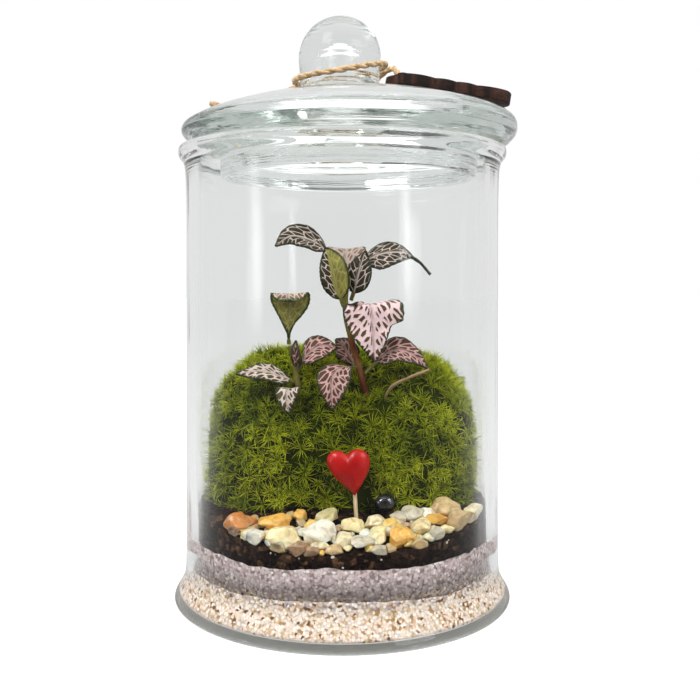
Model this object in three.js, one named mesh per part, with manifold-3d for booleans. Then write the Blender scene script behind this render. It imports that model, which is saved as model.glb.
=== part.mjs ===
// A lidded glass jar with sand, soil, moss, pebbles, a nerve plant, a heart on a stick and a tag on twine.
// Millimetres, +Z up, the front faces -Y, and the origin is the centre of the jar's foot.
import * as THREE from 'three';
import { mergeVertices } from 'three/addons/utils/BufferGeometryUtils.js';
import Module from 'manifold-3d';

const wasm = await Module();
wasm.setup();

// Driving dimensions
const gap = 0.3;
const roundSides = 32;
const jar = {
  radius: 60, wall: 4, floor: 2, footRadius: 64.5, ringRadius: 63.2, ringBottom: 165, top: 172.3,
};
const lid = { offset: 2.7, lean: 0.021, rimRadius: 64.8, plugRadius: 50.2, plugBottom: 160, thickness: 3.6 };
const knob = { radius: 16.1, centre: 207.7, hollow: 7.7, shift: -3.7 };
const layers = { creamTop: 14.8, greyTop: 25.8, soilFront: 30.4, soilSlope: 0.31, soilRise: 26 };
const cushion = {
  y: 12.4, base: 36, across: 55.4, deep: 42, high: 59, squareX: 4.6, squareY: 2.8, squareZ: 3,
  mound: 0.56, needle: 5,
};
const heart = {
  x: 2.8, y: -33.5, z: 53.4, width: 15, height: 16.7, depth: 6.8, lean: 0.087, shear: 0.089, power: 2.25,
};
const stick = { radius: 0.7, top: 44.7, bottom: 28, x: 4.6 };
const gem = { x: 15.2, y: -29.6, z: 41.9, width: 7.8, height: 6.4 };
const tag = {
  x: 15.4, y: 0, z: 196.1, length: 48, width: 31, thickness: 4.2,
  slope: 9, turn: 4, hole: 6.6, holeRadius: 2.6,
};
const twine = { radius: 1.2, sides: 8, steps: 64 };
const leafThickness = 0.7;
const stemSteps = 9;
const stickSteps = 3;
const moundDetail = 3;
const mossDetail = 8;
const needleClear = 1.2;

// A random draw that is the same each time
function seeded(seed) {
  let state = seed;
  return () => {
    state = (state * 1664525 + 1013904223) % 4294967296;
    return state / 4294967296;
  };
}

// A closed geometry as a solid, with its shared vertices merged
function solid(geometry) {
  const bare = geometry.clone();
  bare.deleteAttribute('normal');
  bare.deleteAttribute('uv');
  const merged = mergeVertices(bare, 1e-4);
  const corners = merged.index.array;
  const kept = [];
  for (let i = 0; i < corners.length; i += 3) {
    const [a, b, c] = [corners[i], corners[i + 1], corners[i + 2]];
    if (a !== b && b !== c && c !== a) kept.push(a, b, c);
  }
  return new wasm.Manifold(new wasm.Mesh({
    numProp: 3,
    vertProperties: new Float32Array(merged.attributes.position.array),
    triVerts: new Uint32Array(kept),
  }));
}

// The largest body of a solid, so that a loose scrap is dropped
function largest(body) {
  const bodies = body.decompose();
  return bodies.sort((a, b) => b.volume() - a.volume())[0];
}

function geometryOf(body) {
  const mesh = body.getMesh();
  const geometry = new THREE.BufferGeometry();
  geometry.setAttribute('position', new THREE.BufferAttribute(new Float32Array(mesh.vertProperties), 3));
  geometry.setIndex(new THREE.BufferAttribute(new Uint32Array(mesh.triVerts), 1));
  return geometry;
}

function indexed(points, corners) {
  const geometry = new THREE.BufferGeometry();
  geometry.setAttribute('position', new THREE.Float32BufferAttribute(points, 3));
  geometry.setIndex(corners);
  return geometry;
}

// Round stretches are arcs: centre, radius and the angles they run between, in degrees
function arc(r, z, radius, from, to, steps) {
  const points = [];
  for (let i = 0; i <= steps; i += 1) {
    const angle = THREE.MathUtils.degToRad(from + (to - from) * i / steps);
    points.push([r + radius * Math.cos(angle), z + radius * Math.sin(angle)]);
  }
  return points;
}

// A closed outline of [radius, height] turned round the Z axis
function turned(profile, sides = roundSides) {
  const outline = profile.map(([r, z]) => new THREE.Vector2(Math.max(r, 0), z));
  return new THREE.LatheGeometry(outline, sides).rotateX(Math.PI / 2);
}

function tube(points, radius, steps, sides = 8) {
  const path = new THREE.CatmullRomCurve3(points.map((p) => new THREE.Vector3(...p)), false, 'centripetal');
  const section = new THREE.Shape();
  for (let i = 0; i < sides; i += 1) {
    const angle = 2 * Math.PI * i / sides;
    const [x, y] = [radius * Math.cos(angle), radius * Math.sin(angle)];
    if (i === 0) section.moveTo(x, y);
    else section.lineTo(x, y);
  }
  return new THREE.ExtrudeGeometry(section, { steps, extrudePath: path, bevelEnabled: false });
}

function step(value, low, high) {
  const t = THREE.MathUtils.clamp((value - low) / (high - low), 0, 1);
  return t * t * (3 - 2 * t);
}

// Jar: a straight wall on a flared foot, with a rounded bead round the mouth
const innerRadius = jar.radius - jar.wall;
const fillRadius = innerRadius - gap - 0.1;
const footCurve = [
  [62.6, 0], [jar.footRadius - 0.4, 0.8], [jar.footRadius, 1.7], [63.9, 3], [62.6, 5],
  [61.2, 7.6], [60.3, 10.4], [jar.radius, 15],
];
const innerFoot = [
  [innerRadius, 16], [57.2, 10.6], [59.2, 7.4], [60.5, 5.2], [61.2, 3.8], [60.9, 2.7], [58.4, jar.floor],
];

function jarSolid() {
  const bead = [
    [jar.radius, jar.ringBottom - 0.6], [61.6, 166.4], [jar.ringRadius - 0.3, 168], [jar.ringRadius, 169.2],
    [jar.ringRadius, 171], [jar.ringRadius - 1.2, jar.top],
  ];
  const mouth = [[innerRadius + 0.9, jar.top], [innerRadius, jar.top - 1.2]];
  const profile = [[0, 0], ...footCurve, ...bead, ...mouth, ...innerFoot, [0, jar.floor]];
  return solid(turned(profile));
}

// Lid: dome, rounded rim, plug and a hollow knob; the knob and the dome's right side sit a little off true
function lidProfile() {
  const outer = [
    ...arc(0, knob.centre, knob.radius, 90, -8, 6), [15.4, 199.6], [15.6, 196.4], [17.6, 194.4],
    [26, 192.4], [38, 190.6], [50, 187.3], [58, 184.7], [61.4, 182.9],
    ...arc(lid.rimRadius - 4.4, 178.6, 4.4, 40, -40, 2), [61.6, 173.8], [60.6, jar.top + gap],
  ];
  const plug = [
    [lid.plugRadius, jar.top + gap], [lid.plugRadius - 0.4, lid.plugBottom + 0.8],
    [lid.plugRadius - 1.8, lid.plugBottom], [lid.plugRadius - lid.thickness, lid.plugBottom + 1.4],
  ];
  const inner = [
    [lid.plugRadius - lid.thickness, 177], [43, 183], [34, 187], [14, 190.2],
    [8.8, 195], ...arc(0, 204.6, knob.hollow, 0, 90, 3),
  ];
  return [...outer, ...plug, ...inner].reverse();
}

function lidSolid() {
  const geometry = turned(lidProfile());
  const place = geometry.attributes.position;
  for (let i = 0; i < place.count; i += 1) {
    const [x, z] = [place.getX(i), place.getZ(i)];
    place.setZ(i, z + lid.lean * x * step(z, 174, 184));
    place.setX(i, x + lid.offset + knob.shift * step(z, 188, 198));
  }
  return solid(geometry);
}

// Rows of points round the axis, as [radius, height(x, y)], closed at the axis below and above
function stack(rows) {
  const sides = roundSides;
  const last = rows.length - 1;
  const points = [0, 0, rows[0][1](0, 0), 0, 0, rows[last][1](0, 0)];
  rows.forEach(([radius, height]) => {
    for (let i = 0; i < sides; i += 1) {
      const angle = 2 * Math.PI * i / sides;
      const [x, y] = [radius * Math.cos(angle), radius * Math.sin(angle)];
      points.push(x, y, height(x, y));
    }
  });
  const at = (row, i) => 2 + row * sides + i % sides;
  const corners = [];
  for (let i = 0; i < sides; i += 1) {
    corners.push(0, at(0, i + 1), at(0, i), 1, at(last, i), at(last, i + 1));
    for (let row = 0; row < last; row += 1) {
      const [near, far] = [at(row, i), at(row + 1, i + 1)];
      corners.push(near, at(row, i + 1), far, near, far, at(row + 1, i));
    }
  }
  return solid(indexed(points, corners));
}

// A surface's own rows from the axis out, so that what lies on it has the same faces
const surfaceRows = (surface, radius) => [0.3, 0.62, 0.85, 1].map((share) => [radius * share, surface]);

// A layer of filling between two surfaces, with a side that follows the glass
function layer(low, high, side = []) {
  const [bottom, top] = [side[0]?.[0] ?? fillRadius, fillRadius];
  const middle = side.slice(1).map(([radius, z]) => [radius, () => z]);
  return stack([...surfaceRows(low, bottom), ...middle, ...surfaceRows(high, top).reverse()]);
}

// All that lies below a surface, also past the glass, as a tool to cut with
function below(surface) {
  const reach = 90;
  const edge = (x, y) => surface(x * fillRadius / reach, y * fillRadius / reach);
  return stack([[reach, () => 0], [reach, edge], ...surfaceRows(surface, fillRadius).reverse()]);
}

const creamTop = (x, y) => layers.creamTop + 0.7 * Math.sin(x / 13 + 1) + 0.5 * Math.cos(y / 11 + x / 17);
const greyTop = (x, y) => layers.greyTop + 0.5 * Math.sin(x / 9 + 2) + 0.4 * Math.cos(y / 12 - x / 15);
function soilTop(x, y) {
  const rise = THREE.MathUtils.clamp(y + 53, 0, layers.soilRise);
  return layers.soilFront + layers.soilSlope * rise + 0.5 * Math.sin(x / 7 + 0.6) * Math.cos(y / 9);
}
const above = (surface, distance) => (x, y) => surface(x, y) + distance;

// Moss cushion and the soil mound under it are domes of one form, at two sizes
function domeReach(direction, share) {
  const [x, y, z] = [direction.x, direction.y, direction.z];
  const inside = (t) => Math.abs(t * x / (cushion.across * share)) ** cushion.squareX
    + Math.abs(t * y / (cushion.deep * share)) ** cushion.squareY
    + Math.abs(t * z / (cushion.high * share)) ** cushion.squareZ < 1;
  let [low, high] = [0, 90];
  for (let i = 0; i < 30; i += 1) {
    const middle = (low + high) / 2;
    if (inside(middle)) low = middle;
    else high = middle;
  }
  return low;
}

function domePoint(direction, share, grow = 0) {
  const reach = domeReach(direction, share) + grow;
  const place = direction.clone().multiplyScalar(reach);
  return place.add(new THREE.Vector3(0, cushion.y, cushion.base));
}

function dome(share, detail, shaped) {
  const geometry = mergeVertices(new THREE.IcosahedronGeometry(1, detail)
    .deleteAttribute('normal').deleteAttribute('uv'), 1e-4);
  const place = geometry.attributes.position;
  for (let i = 0; i < place.count; i += 1) {
    const direction = new THREE.Vector3().fromBufferAttribute(place, i).normalize();
    const point = shaped(direction, share);
    place.setXYZ(i, point.x, point.y, point.z);
  }
  return geometry;
}

// A hole round a rod, which runs a little past its lower end
function holeFor(route, radius, steps) {
  const [first, second] = route.map((p) => new THREE.Vector3(...p));
  const back = first.clone().sub(second).normalize();
  const end = [2 * gap, -1].map((distance) => first.clone().addScaledVector(back, distance).toArray());
  return solid(tube(route, radius + gap, steps)).add(solid(tube(end, radius + gap, 1)));
}

function soilSolid() {
  const bed = layer(above(greyTop, gap), soilTop);
  const mound = solid(dome(cushion.mound, moundDetail, (direction, share) => domePoint(direction, share)));
  const holes = stems.map((s) => holeFor(s.route, s.radius, stemSteps));
  holes.push(holeFor([...stickRoute].reverse(), stick.radius, stickSteps));
  const soil = bed.add(mound.subtract(below(above(soilTop, -1))));
  return largest(holes.reduce((rest, hole) => rest.subtract(hole), soil));
}

// Plant: two main stems and a dead twig, with the leaves that they carry
const stems = [
  {
    name: 'stem_tall', radius: 1.35, route: [
      [9.5, 2, 54], [9.5, -4, 63], [9.2, -11.5, 74], [7.2, -14, 84.6], [5.3, -13, 91.5],
      [3, -12, 100.5], [1.5, -12, 107], [1.1, -12, 113.4], [1.5, -11.6, 117.6],
    ],
  },
  {
    name: 'stem_short', radius: 1.2, route: [
      [-15, 3, 55], [-15.2, -5, 66], [-15.8, -12.5, 76], [-16.4, -15, 82], [-17.4, -14.4, 88],
      [-18.9, -14, 93.4], [-20, -14, 96.6],
    ],
  },
  {
    name: 'twig', radius: 0.7, route: [
      [12, -2, 57], [14, -11, 71], [18.4, -19, 82], [24.8, -22.6, 86], [31, -24.8, 89],
    ],
  },
];

// Each leaf has a rib, the half width of its blade, and the way each half lies across the rib
const leaves = [
  { name: 'leaf_tall_left', half: 7, stalk: 0.42, left: [0.2, -0.75, -0.6], right: [0, 0.7, 0.75],
    rib: [
      [0.2, -9, 117.2], [-3, -7, 126], [-7, -8, 133.2],
      [-14, -10, 136.9], [-19.5, -12, 137.6], [-25.1, -14, 133.7],
    ] },
  { name: 'leaf_tall_erect_left', half: 6, stalk: 0.12, left: [-0.95, -0.2, 0.1], right: [0.75, -0.4, 0.2],
    rib: [
      [0.4, -14.4, 111.4], [-1.2, -15.6, 117], [-2.8, -15.2, 124.3],
      [-4.6, -13, 130.3], [-6.1, -10.6, 133.4],
    ] },
  { name: 'leaf_tall_back', half: 7.6, stalk: 0.2, left: [-1, 0, 0.15], right: [1, 0, 0.15],
    rib: [
      [2.4, -9, 117.8], [2.1, -6, 124.5], [1.7, -2.6, 130.2],
      [1.6, 2, 133], [1.6, 7, 132.2], [1.6, 11, 128.6],
    ] },
  { name: 'leaf_tall_erect_right', half: 5, stalk: 0.15, left: [-0.8, 0.25, 0.2], right: [0.85, -0.3, -0.1],
    rib: [[3.4, -13.4, 113.6], [5.3, -14.1, 119.6], [6.8, -13.6, 126], [8.8, -12.6, 132.2]] },
  { name: 'leaf_tall_right', half: 7.2, stalk: 0.26, tail: 0.3,
    left: [0, 0.8, 0.6], right: [-0.1, -0.6, -0.8],
    rib: [[3.1, -10.6, 117], [6.6, -9.4, 123.5], [10.6, -10.4, 129.2], [19, -11.6, 131.6], [25.8, -12, 130.4],
      [33.2, -12, 123.2]] },
  { name: 'leaf_tall_front', half: 11.2, stalk: 0.22, swell: 0.55, notch: [0.42, 0.68],
    left: [-1, -0.05, 0], right: [1, -0.05, 0.06],
    rib: [
      [2.7, -13.6, 109.8], [6.8, -15.2, 111.5], [10.4, -17.6, 112.4], [11.2, -20.6, 111.2],
      [11.5, -22, 102.6], [11.6, -22, 91.6],
    ] },
  { name: 'leaf_short_spoon', half: 7.4, stalk: 0.08, swell: 2, blunt: true,
    left: [-1, -0.1, 0], right: [1, -0.15, 0.05],
    rib: [
      [-20.1, -14.3, 97.3], [-20, -16.2, 104.5], [-19.3, -17.2, 111.4], [-19.2, -17.9, 114.8],
      [-19.3, -19.5, 116.2], [-19.4, -22.3, 113.6],
    ] },
  { name: 'leaf_short_left', half: 4.8, stalk: 0.1, left: [0.1, -0.75, -0.6], right: [0, 0.8, 0.55],
    rib: [[-17.9, -16.2, 83.5], [-22.6, -20, 86], [-29.4, -22, 88.1], [-38.5, -22.6, 87.1]] },
  { name: 'leaf_short_front', half: 4.4, stalk: 0.1, left: [-1, 0, 0.1], right: [1, 0, 0.1],
    rib: [[-17, -16.5, 80.6], [-19.6, -24.4, 81.4], [-19.8, -27, 77.8], [-19, -27.4, 73.4]] },
  { name: 'leaf_short_right', half: 6.2, stalk: 0.16, left: [0, 0.65, 0.75], right: [0.1, -0.7, -0.7],
    rib: [[-15.6, -16.4, 88.4], [-13.4, -18.6, 92.8], [-8.2, -18.6, 96.6], [-1.6, -17, 96.4]] },
  { name: 'leaf_short_narrow', half: 2.6, stalk: 0.1, left: [-0.7, -0.7, 0], right: [0.8, -0.6, 0],
    pairedWith: 'leaf_short_right',
    rib: [[-15.7, -16.5, 88.2], [-16.8, -18, 91.6], [-17.4, -18.6, 95.6], [-17, -17.4, 99]] },
  { name: 'leaf_low_back', half: 4.6, stalk: 0.1, left: [-0.75, 0.1, -0.6], right: [0.8, 0, 0.5],
    rib: [[4.8, -11.5, 88.8], [2.4, -9, 93.4], [0.2, -7.6, 96.8], [-2.2, -6, 98.6]] },
  { name: 'leaf_low_right', half: 6.2, stalk: 0.2, left: [0, 0.65, 0.75], right: [0, -0.75, -0.6],
    rib: [[8.2, -15.4, 86.6], [14, -17, 92.4], [20.4, -18.6, 95.4], [26, -19.4, 93.4], [30.7, -20, 88.6]] },
  { name: 'leaf_low_front', half: 6, stalk: 0.18, left: [-1, -0.1, 0], right: [1, -0.1, 0.05],
    rib: [[5, -15.2, 89], [0.4, -20.6, 89.2], [-2.8, -25, 86.4], [-3.4, -27.4, 81], [-3.2, -28, 74.9]] },
];

// Share of the half width at a place along the blade: swell says where it is widest, from 0.5 near the
// stalk to 2 near the tip, a tail draws the tip out to a thread, and a blunt blade stays wide to its end
function bladeWidth(s, tail, swell, blunt) {
  const end = 1 - tail;
  const widest = 0.5 ** (1 / swell);
  if (blunt && s > widest) return Math.max(1 - ((s - widest) / (1 - widest)) ** 3, 0.01) ** 0.5;
  const body = s < end ? Math.sin(Math.PI * (s / end) ** swell) ** 0.8 : 0;
  return Math.max(body, tail > 0 ? 0.1 : 0.05);
}

function bladeGrid(leaf, alongSteps, acrossSteps) {
  const rib = new THREE.CatmullRomCurve3(leaf.rib.map((p) => new THREE.Vector3(...p)), false, 'centripetal');
  const ways = [new THREE.Vector3(...leaf.left).normalize(), new THREE.Vector3(...leaf.right).normalize()];
  const stalkHalf = 0.75;
  const grid = [];
  for (let i = 0; i <= alongSteps; i += 1) {
    const share = i / alongSteps;
    const centre = rib.getPointAt(share);
    const tangent = rib.getTangentAt(share);
    const s = (share - leaf.stalk) / (1 - leaf.stalk);
    const fullness = s <= 0 ? 0 : bladeWidth(s, leaf.tail ?? 0, leaf.swell ?? 0.8, leaf.blunt);
    const half = s <= 0 ? stalkHalf : Math.max(leaf.half * fullness, stalkHalf * 0.6);
    const wave = s <= 0 ? 0 : 0.06 * leaf.half * Math.sin(11 * s);
    const [notchStart, notchShare] = leaf.notch ?? [1, 1];
    const past = THREE.MathUtils.smoothstep(s, notchStart, notchStart + 0.06);
    const cut = THREE.MathUtils.lerp(1, notchShare, past);
    const row = [];
    for (let j = 0; j <= acrossSteps; j += 1) {
      const u = 2 * j / acrossSteps - 1;
      const way = ways[u < 0 ? 0 : 1].clone();
      way.addScaledVector(tangent, -way.dot(tangent)).normalize();
      const point = centre.clone().addScaledVector(way, Math.abs(u) * half * (u > 0 ? cut : 1));
      const up = new THREE.Vector3().crossVectors(tangent, way).multiplyScalar(u < 0 ? -1 : 1);
      row.push(point.addScaledVector(up, wave * u * u));
    }
    grid.push(row);
  }
  return grid;
}

// A closed blade: the grid moved half its thickness to each side, with both faces split alike
function blade(grid, thickness) {
  const [rows, columns] = [grid.length, grid[0].length];
  const normalAt = (i, j) => {
    const along = new THREE.Vector3().subVectors(
      grid[Math.min(i + 1, rows - 1)][j], grid[Math.max(i - 1, 0)][j]);
    const across = new THREE.Vector3().subVectors(
      grid[i][Math.min(j + 1, columns - 1)], grid[i][Math.max(j - 1, 0)]);
    return along.cross(across).normalize();
  };
  const points = [];
  [0.5, -0.5].forEach((side) => {
    grid.forEach((row, i) => row.forEach((point, j) => {
      points.push(...point.clone().addScaledVector(normalAt(i, j), side * thickness).toArray());
    }));
  });
  const at = (face, i, j) => (face * rows + i) * columns + j;
  const corners = [];
  const quad = (a, b, c, d) => corners.push(a, b, c, a, c, d);
  for (let i = 0; i < rows - 1; i += 1) {
    for (let j = 0; j < columns - 1; j += 1) {
      quad(at(0, i, j), at(0, i + 1, j), at(0, i + 1, j + 1), at(0, i, j + 1));
      const [a, b, c, d] = [at(1, i, j), at(1, i, j + 1), at(1, i + 1, j + 1), at(1, i + 1, j)];
      corners.push(a, b, c, a, c, d);
    }
  }
  for (let i = 0; i < rows - 1; i += 1) {
    quad(at(0, i, 0), at(1, i, 0), at(1, i + 1, 0), at(0, i + 1, 0));
    quad(at(0, i, columns - 1), at(0, i + 1, columns - 1), at(1, i + 1, columns - 1), at(1, i, columns - 1));
  }
  for (let j = 0; j < columns - 1; j += 1) {
    quad(at(0, 0, j), at(0, 0, j + 1), at(1, 0, j + 1), at(1, 0, j));
    quad(at(0, rows - 1, j), at(1, rows - 1, j), at(1, rows - 1, j + 1), at(0, rows - 1, j + 1));
  }
  return indexed(points, corners);
}

const leafBlade = (leaf) => blade(bladeGrid(leaf, 8, 4), leafThickness);

// Places that the needles keep clear of: leaves, stems, the heart, the gem and the pebbles
function keepClear() {
  const places = [];
  leaves.forEach((leaf) => {
    bladeGrid(leaf, 8, 4).flat().forEach((point) => places.push([point, needleClear]));
  });
  stems.forEach((s) => {
    const path = new THREE.CatmullRomCurve3(s.route.map((p) => new THREE.Vector3(...p)));
    path.getPoints(24).forEach((point) => places.push([point, s.radius + 0.8]));
  });
  for (let i = -3; i <= 3; i += 1) {
    for (let k = -3; k <= 3; k += 1) {
      places.push([new THREE.Vector3(heart.x + i * 2.2, heart.y + heart.depth / 2, heart.z + k * 2.2), 1.6]);
    }
  }
  places.push([new THREE.Vector3(gem.x, gem.y, gem.z), gem.width / 2 + 0.8]);
  Object.values(pebbleBeds).flat().forEach(([x, y, length]) => {
    places.push([new THREE.Vector3(x, y, soilTop(x, y) + 0.3 * length), 0.5 * length + 0.6]);
  });
  return places;
}

// Moss: needles stand on a lumpy core in stars, three sides to a needle, each on one triangle of the core
function mossSolid() {
  const random = seeded(11);
  const hollows = [[7, -16, 81, 9, 5], [-16, -15, 82, 7, 3.5], [14, -14, 84, 7, 4]];
  const core = dome(1, mossDetail, (direction, share) => {
    const surface = domePoint(direction, share, -cushion.needle * 0.8);
    const lump = 0.9 * Math.sin(surface.x / 6) * Math.sin(surface.z / 7 + surface.y / 8);
    const dent = hollows.reduce((sum, [x, y, z, reach, depth]) => {
      const distance = Math.hypot(surface.x - x, surface.y - y, surface.z - z);
      return sum + depth * Math.exp(-((distance / reach) ** 2));
    }, 0);
    const point = domePoint(direction, share, -cushion.needle * 0.8 + lump - dent);
    const inward = Math.min(1, (innerRadius - 3.4) / Math.hypot(point.x, point.y));
    return new THREE.Vector3(point.x * inward, point.y * inward, point.z);
  });
  const place = core.attributes.position;
  const corners = [...core.index.array];
  const point = (i) => new THREE.Vector3().fromBufferAttribute(place, i);
  const points = [...place.array];
  const isStar = new Map();
  for (let i = 0; i < corners.length; i += 3) {
    const face = corners.slice(i, i + 3);
    if (face.some((v) => isStar.get(v) === true)) {
      face.forEach((v) => isStar.get(v) === true || isStar.set(v, false));
    } else {
      const centre = face.find((v) => !isStar.has(v));
      face.forEach((v) => isStar.set(v, v === centre));
    }
  }
  const clear = keepClear();
  const glass = innerRadius - 0.6;
  const needles = [];
  for (let i = 0; i < corners.length; i += 3) {
    const face = corners.slice(i, i + 3);
    const [a, b, c] = face.map(point);
    const middle = a.clone().add(b).add(c).divideScalar(3);
    const normal = b.clone().sub(a).cross(c.clone().sub(a)).normalize();
    const centre = face.find((v) => isStar.get(v) === true);
    const lean = centre === undefined ? new THREE.Vector3() : middle.clone().sub(point(centre)).normalize();
    const height = cushion.needle * (0.75 + 0.5 * random());
    const way = normal.clone().addScaledVector(lean, 0.75).normalize();
    let length = middle.z < cushion.base - 3 ? 0 : height;
    const tip = (l) => middle.clone().addScaledVector(way, l);
    const free = (l) => Math.hypot(tip(l).x, tip(l).y) < glass
      && clear.every(([at, reach]) => tip(l).distanceTo(at) > reach && tip(l / 2).distanceTo(at) > reach);
    while (length > 0 && !free(length)) length -= 0.8;
    if (length < 0.9) {
      needles.push(...face);
    } else {
      const top = points.length / 3;
      points.push(...tip(length).toArray());
      needles.push(face[0], face[1], top, face[1], face[2], top, face[2], face[0], top);
    }
  }
  const bed = below(above(soilTop, gap));
  const roomy = (direction, share) => domePoint(direction, share, gap * 1.4);
  const mound = solid(dome(cushion.mound, moundDetail, roomy));
  let moss = solid(indexed(points, needles)).subtract(bed).subtract(mound);
  stems.forEach((s) => {
    moss = moss.subtract(solid(tube(s.route, s.radius + gap, stemSteps)));
  });
  return largest(moss);
}

// Pebbles: hand-placed stones as [x, y, length, turn in degrees], in three beds
const pebbleBeds = {
  pebbles_left: [
    [-36, -38, 10, 15], [-28.5, -46, 7.4, 60], [-22.5, -39, 11, -8], [-19, -46.5, 12, 12],
    [-15, -33.5, 6.4, 70], [-37, -43, 6.4, 30], [-31.6, -44, 6.2, -20], [-10.5, -38.5, 6.8, 20],
    [-26, -36, 6, 40], [-20.5, -50.6, 6.4, 35], [-32, -36.4, 6, -30], [-14.8, -51.6, 7.2, 5],
  ],
  pebbles_middle: [
    [-7.8, -45, 11.4, 8], [-4.6, -35, 9, 35], [1, -47.6, 7.6, 80], [6.4, -50, 8.4, 20],
    [3.4, -40, 8.6, -25], [11.4, -46, 9.2, 65], [10.8, -36, 8, 25], [18.5, -47, 9.4, 85],
    [17, -38.4, 7.6, -15], [-2.6, -52.6, 6, 0], [12.2, -53, 6, 15], [-10.4, -52.6, 6, -10],
  ],
  pebbles_right: [
    [26, -40.4, 9.6, 50], [32.4, -37, 7.2, -20], [36.4, -30.4, 10.6, -12], [39.4, -36.6, 9.8, 40],
    [31.4, -44, 7, 75], [24.6, -32.6, 8.4, 10], [45, -29.6, 7.2, 60], [25.4, -48.6, 6.4, -5],
    [44.6, -34.4, 6, 20], [30, -31.6, 6.6, 35], [20, -33.6, 6, -30],
  ],
};

function pebble([x, y, length, turn], grow = 0) {
  const random = seeded(Math.round(1000 + 97 * x + 31 * y));
  const round = new THREE.IcosahedronGeometry(1, 0);
  const stone = mergeVertices(round.deleteAttribute('normal').deleteAttribute('uv'));
  const place = stone.attributes.position;
  for (let i = 0; i < place.count; i += 1) {
    const swell = 0.88 + 0.26 * random();
    place.setXYZ(i, place.getX(i) * swell, place.getY(i) * swell, place.getZ(i) * swell);
  }
  stone.rotateX(random() * 3);
  stone.scale(length * 0.52, length * 0.42, length * 0.28);
  stone.rotateY(0.25 * (random() - 0.5)).rotateZ(THREE.MathUtils.degToRad(turn));
  stone.rotateX(Math.atan(layers.soilSlope)).translate(x, y, 0);
  const lifts = [];
  for (let i = 0; i < place.count; i += 1) {
    lifts.push(soilTop(place.getX(i), place.getY(i)) + 2 * gap - place.getZ(i));
  }
  const swollen = 1 + grow / (length * 0.25);
  stone.translate(-x, -y, 0).scale(swollen, swollen, swollen);
  return solid(stone.translate(x, y, Math.max(...lifts)));
}

// Each stone touches its bed: where it would lie alone, a small stone lies between it and its neighbour
function pebbleBed(stones, cuts) {
  const lay = (stone, grow) => cuts.reduce((rest, cut) => rest.subtract(cut), pebble(stone, grow));
  const joined = (one, other) => one.intersect(other).volume() > 0.3;
  const laid = [];
  let bed = null;
  [...stones].sort((a, b) => a[0] - b[0]).forEach((stone) => {
    const [x, y] = stone;
    const body = lay(stone);
    if (bed && !joined(bed, body)) {
      const [nearX, nearY] = laid.reduce((best, at) => (
        Math.hypot(at[0] - x, at[1] - y) < Math.hypot(best[0] - x, best[1] - y) ? at : best));
      const distance = Math.hypot(x - nearX, y - nearY);
      const across = THREE.MathUtils.radToDeg(Math.atan2(y - nearY, x - nearX));
      let between = [(x + nearX) / 2, (y + nearY) / 2, distance * 0.8, across];
      while (between[2] < distance * 1.8 && !(joined(bed, lay(between)) && joined(body, lay(between)))) {
        between = [between[0], between[1], between[2] * 1.1, across];
      }
      bed = bed.add(lay(between));
      laid.push(between);
    }
    laid.push(stone);
    bed = bed ? bed.add(body) : body;
  });
  return { bed, laid };
}

// Beds lie side by side: a later one makes room for the stones of those before it, the stick and the gem
function pebbleSolids() {
  const room = solid(turned([[0, 20], [fillRadius, 20], [fillRadius, 60], [0, 60]]));
  const cuts = [solid(stickTube(gap)), solid(gemGeometry(gap))];
  return Object.entries(pebbleBeds).map(([name, stones]) => {
    const { bed, laid } = pebbleBed(stones, cuts);
    const body = largest(bed.intersect(room));
    cuts.push(...laid.map((stone) => pebble(stone, gap * 1.4)));
    return [name, body];
  });
}

// Heart: a sphere whose rings follow a heart outline, leaning on its stick
function heartGeometry() {
  const geometry = new THREE.SphereGeometry(1, 22, 8);
  const place = geometry.attributes.position;
  for (let i = 0; i < place.count; i += 1) {
    const [x, y, z] = [place.getX(i), place.getY(i), place.getZ(i)];
    const t = Math.atan2(x, z);
    const ring = Math.hypot(x, z);
    const across = Math.sign(t) * Math.abs(Math.sin(t)) ** heart.power / 2 * ring * heart.width;
    const rise = Math.cos(t) - 0.317 * Math.cos(2 * t) - 0.079 * Math.cos(3 * t) - 0.038 * Math.cos(4 * t);
    const up = (rise + 0.2365) / 2.079 * ring * heart.height;
    place.setXYZ(i, across - heart.shear * up, y * heart.depth / 2, up);
  }
  return geometry.rotateY(-heart.lean).translate(heart.x, heart.y, heart.z);
}

const stickRoute = [
  [stick.x - 0.4, heart.y, stick.top], [stick.x, heart.y, 37], [stick.x + 0.3, heart.y, stick.bottom],
];
const stickTube = (grow = 0) => tube(stickRoute, stick.radius + grow, stickSteps);

function gemGeometry(grow = 0) {
  const sphere = new THREE.SphereGeometry(1, 12, 8);
  sphere.scale(gem.width / 2 + grow, gem.width / 2.4 + grow, gem.height / 2 + grow);
  return sphere.translate(gem.x, gem.y, gem.z);
}

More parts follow.
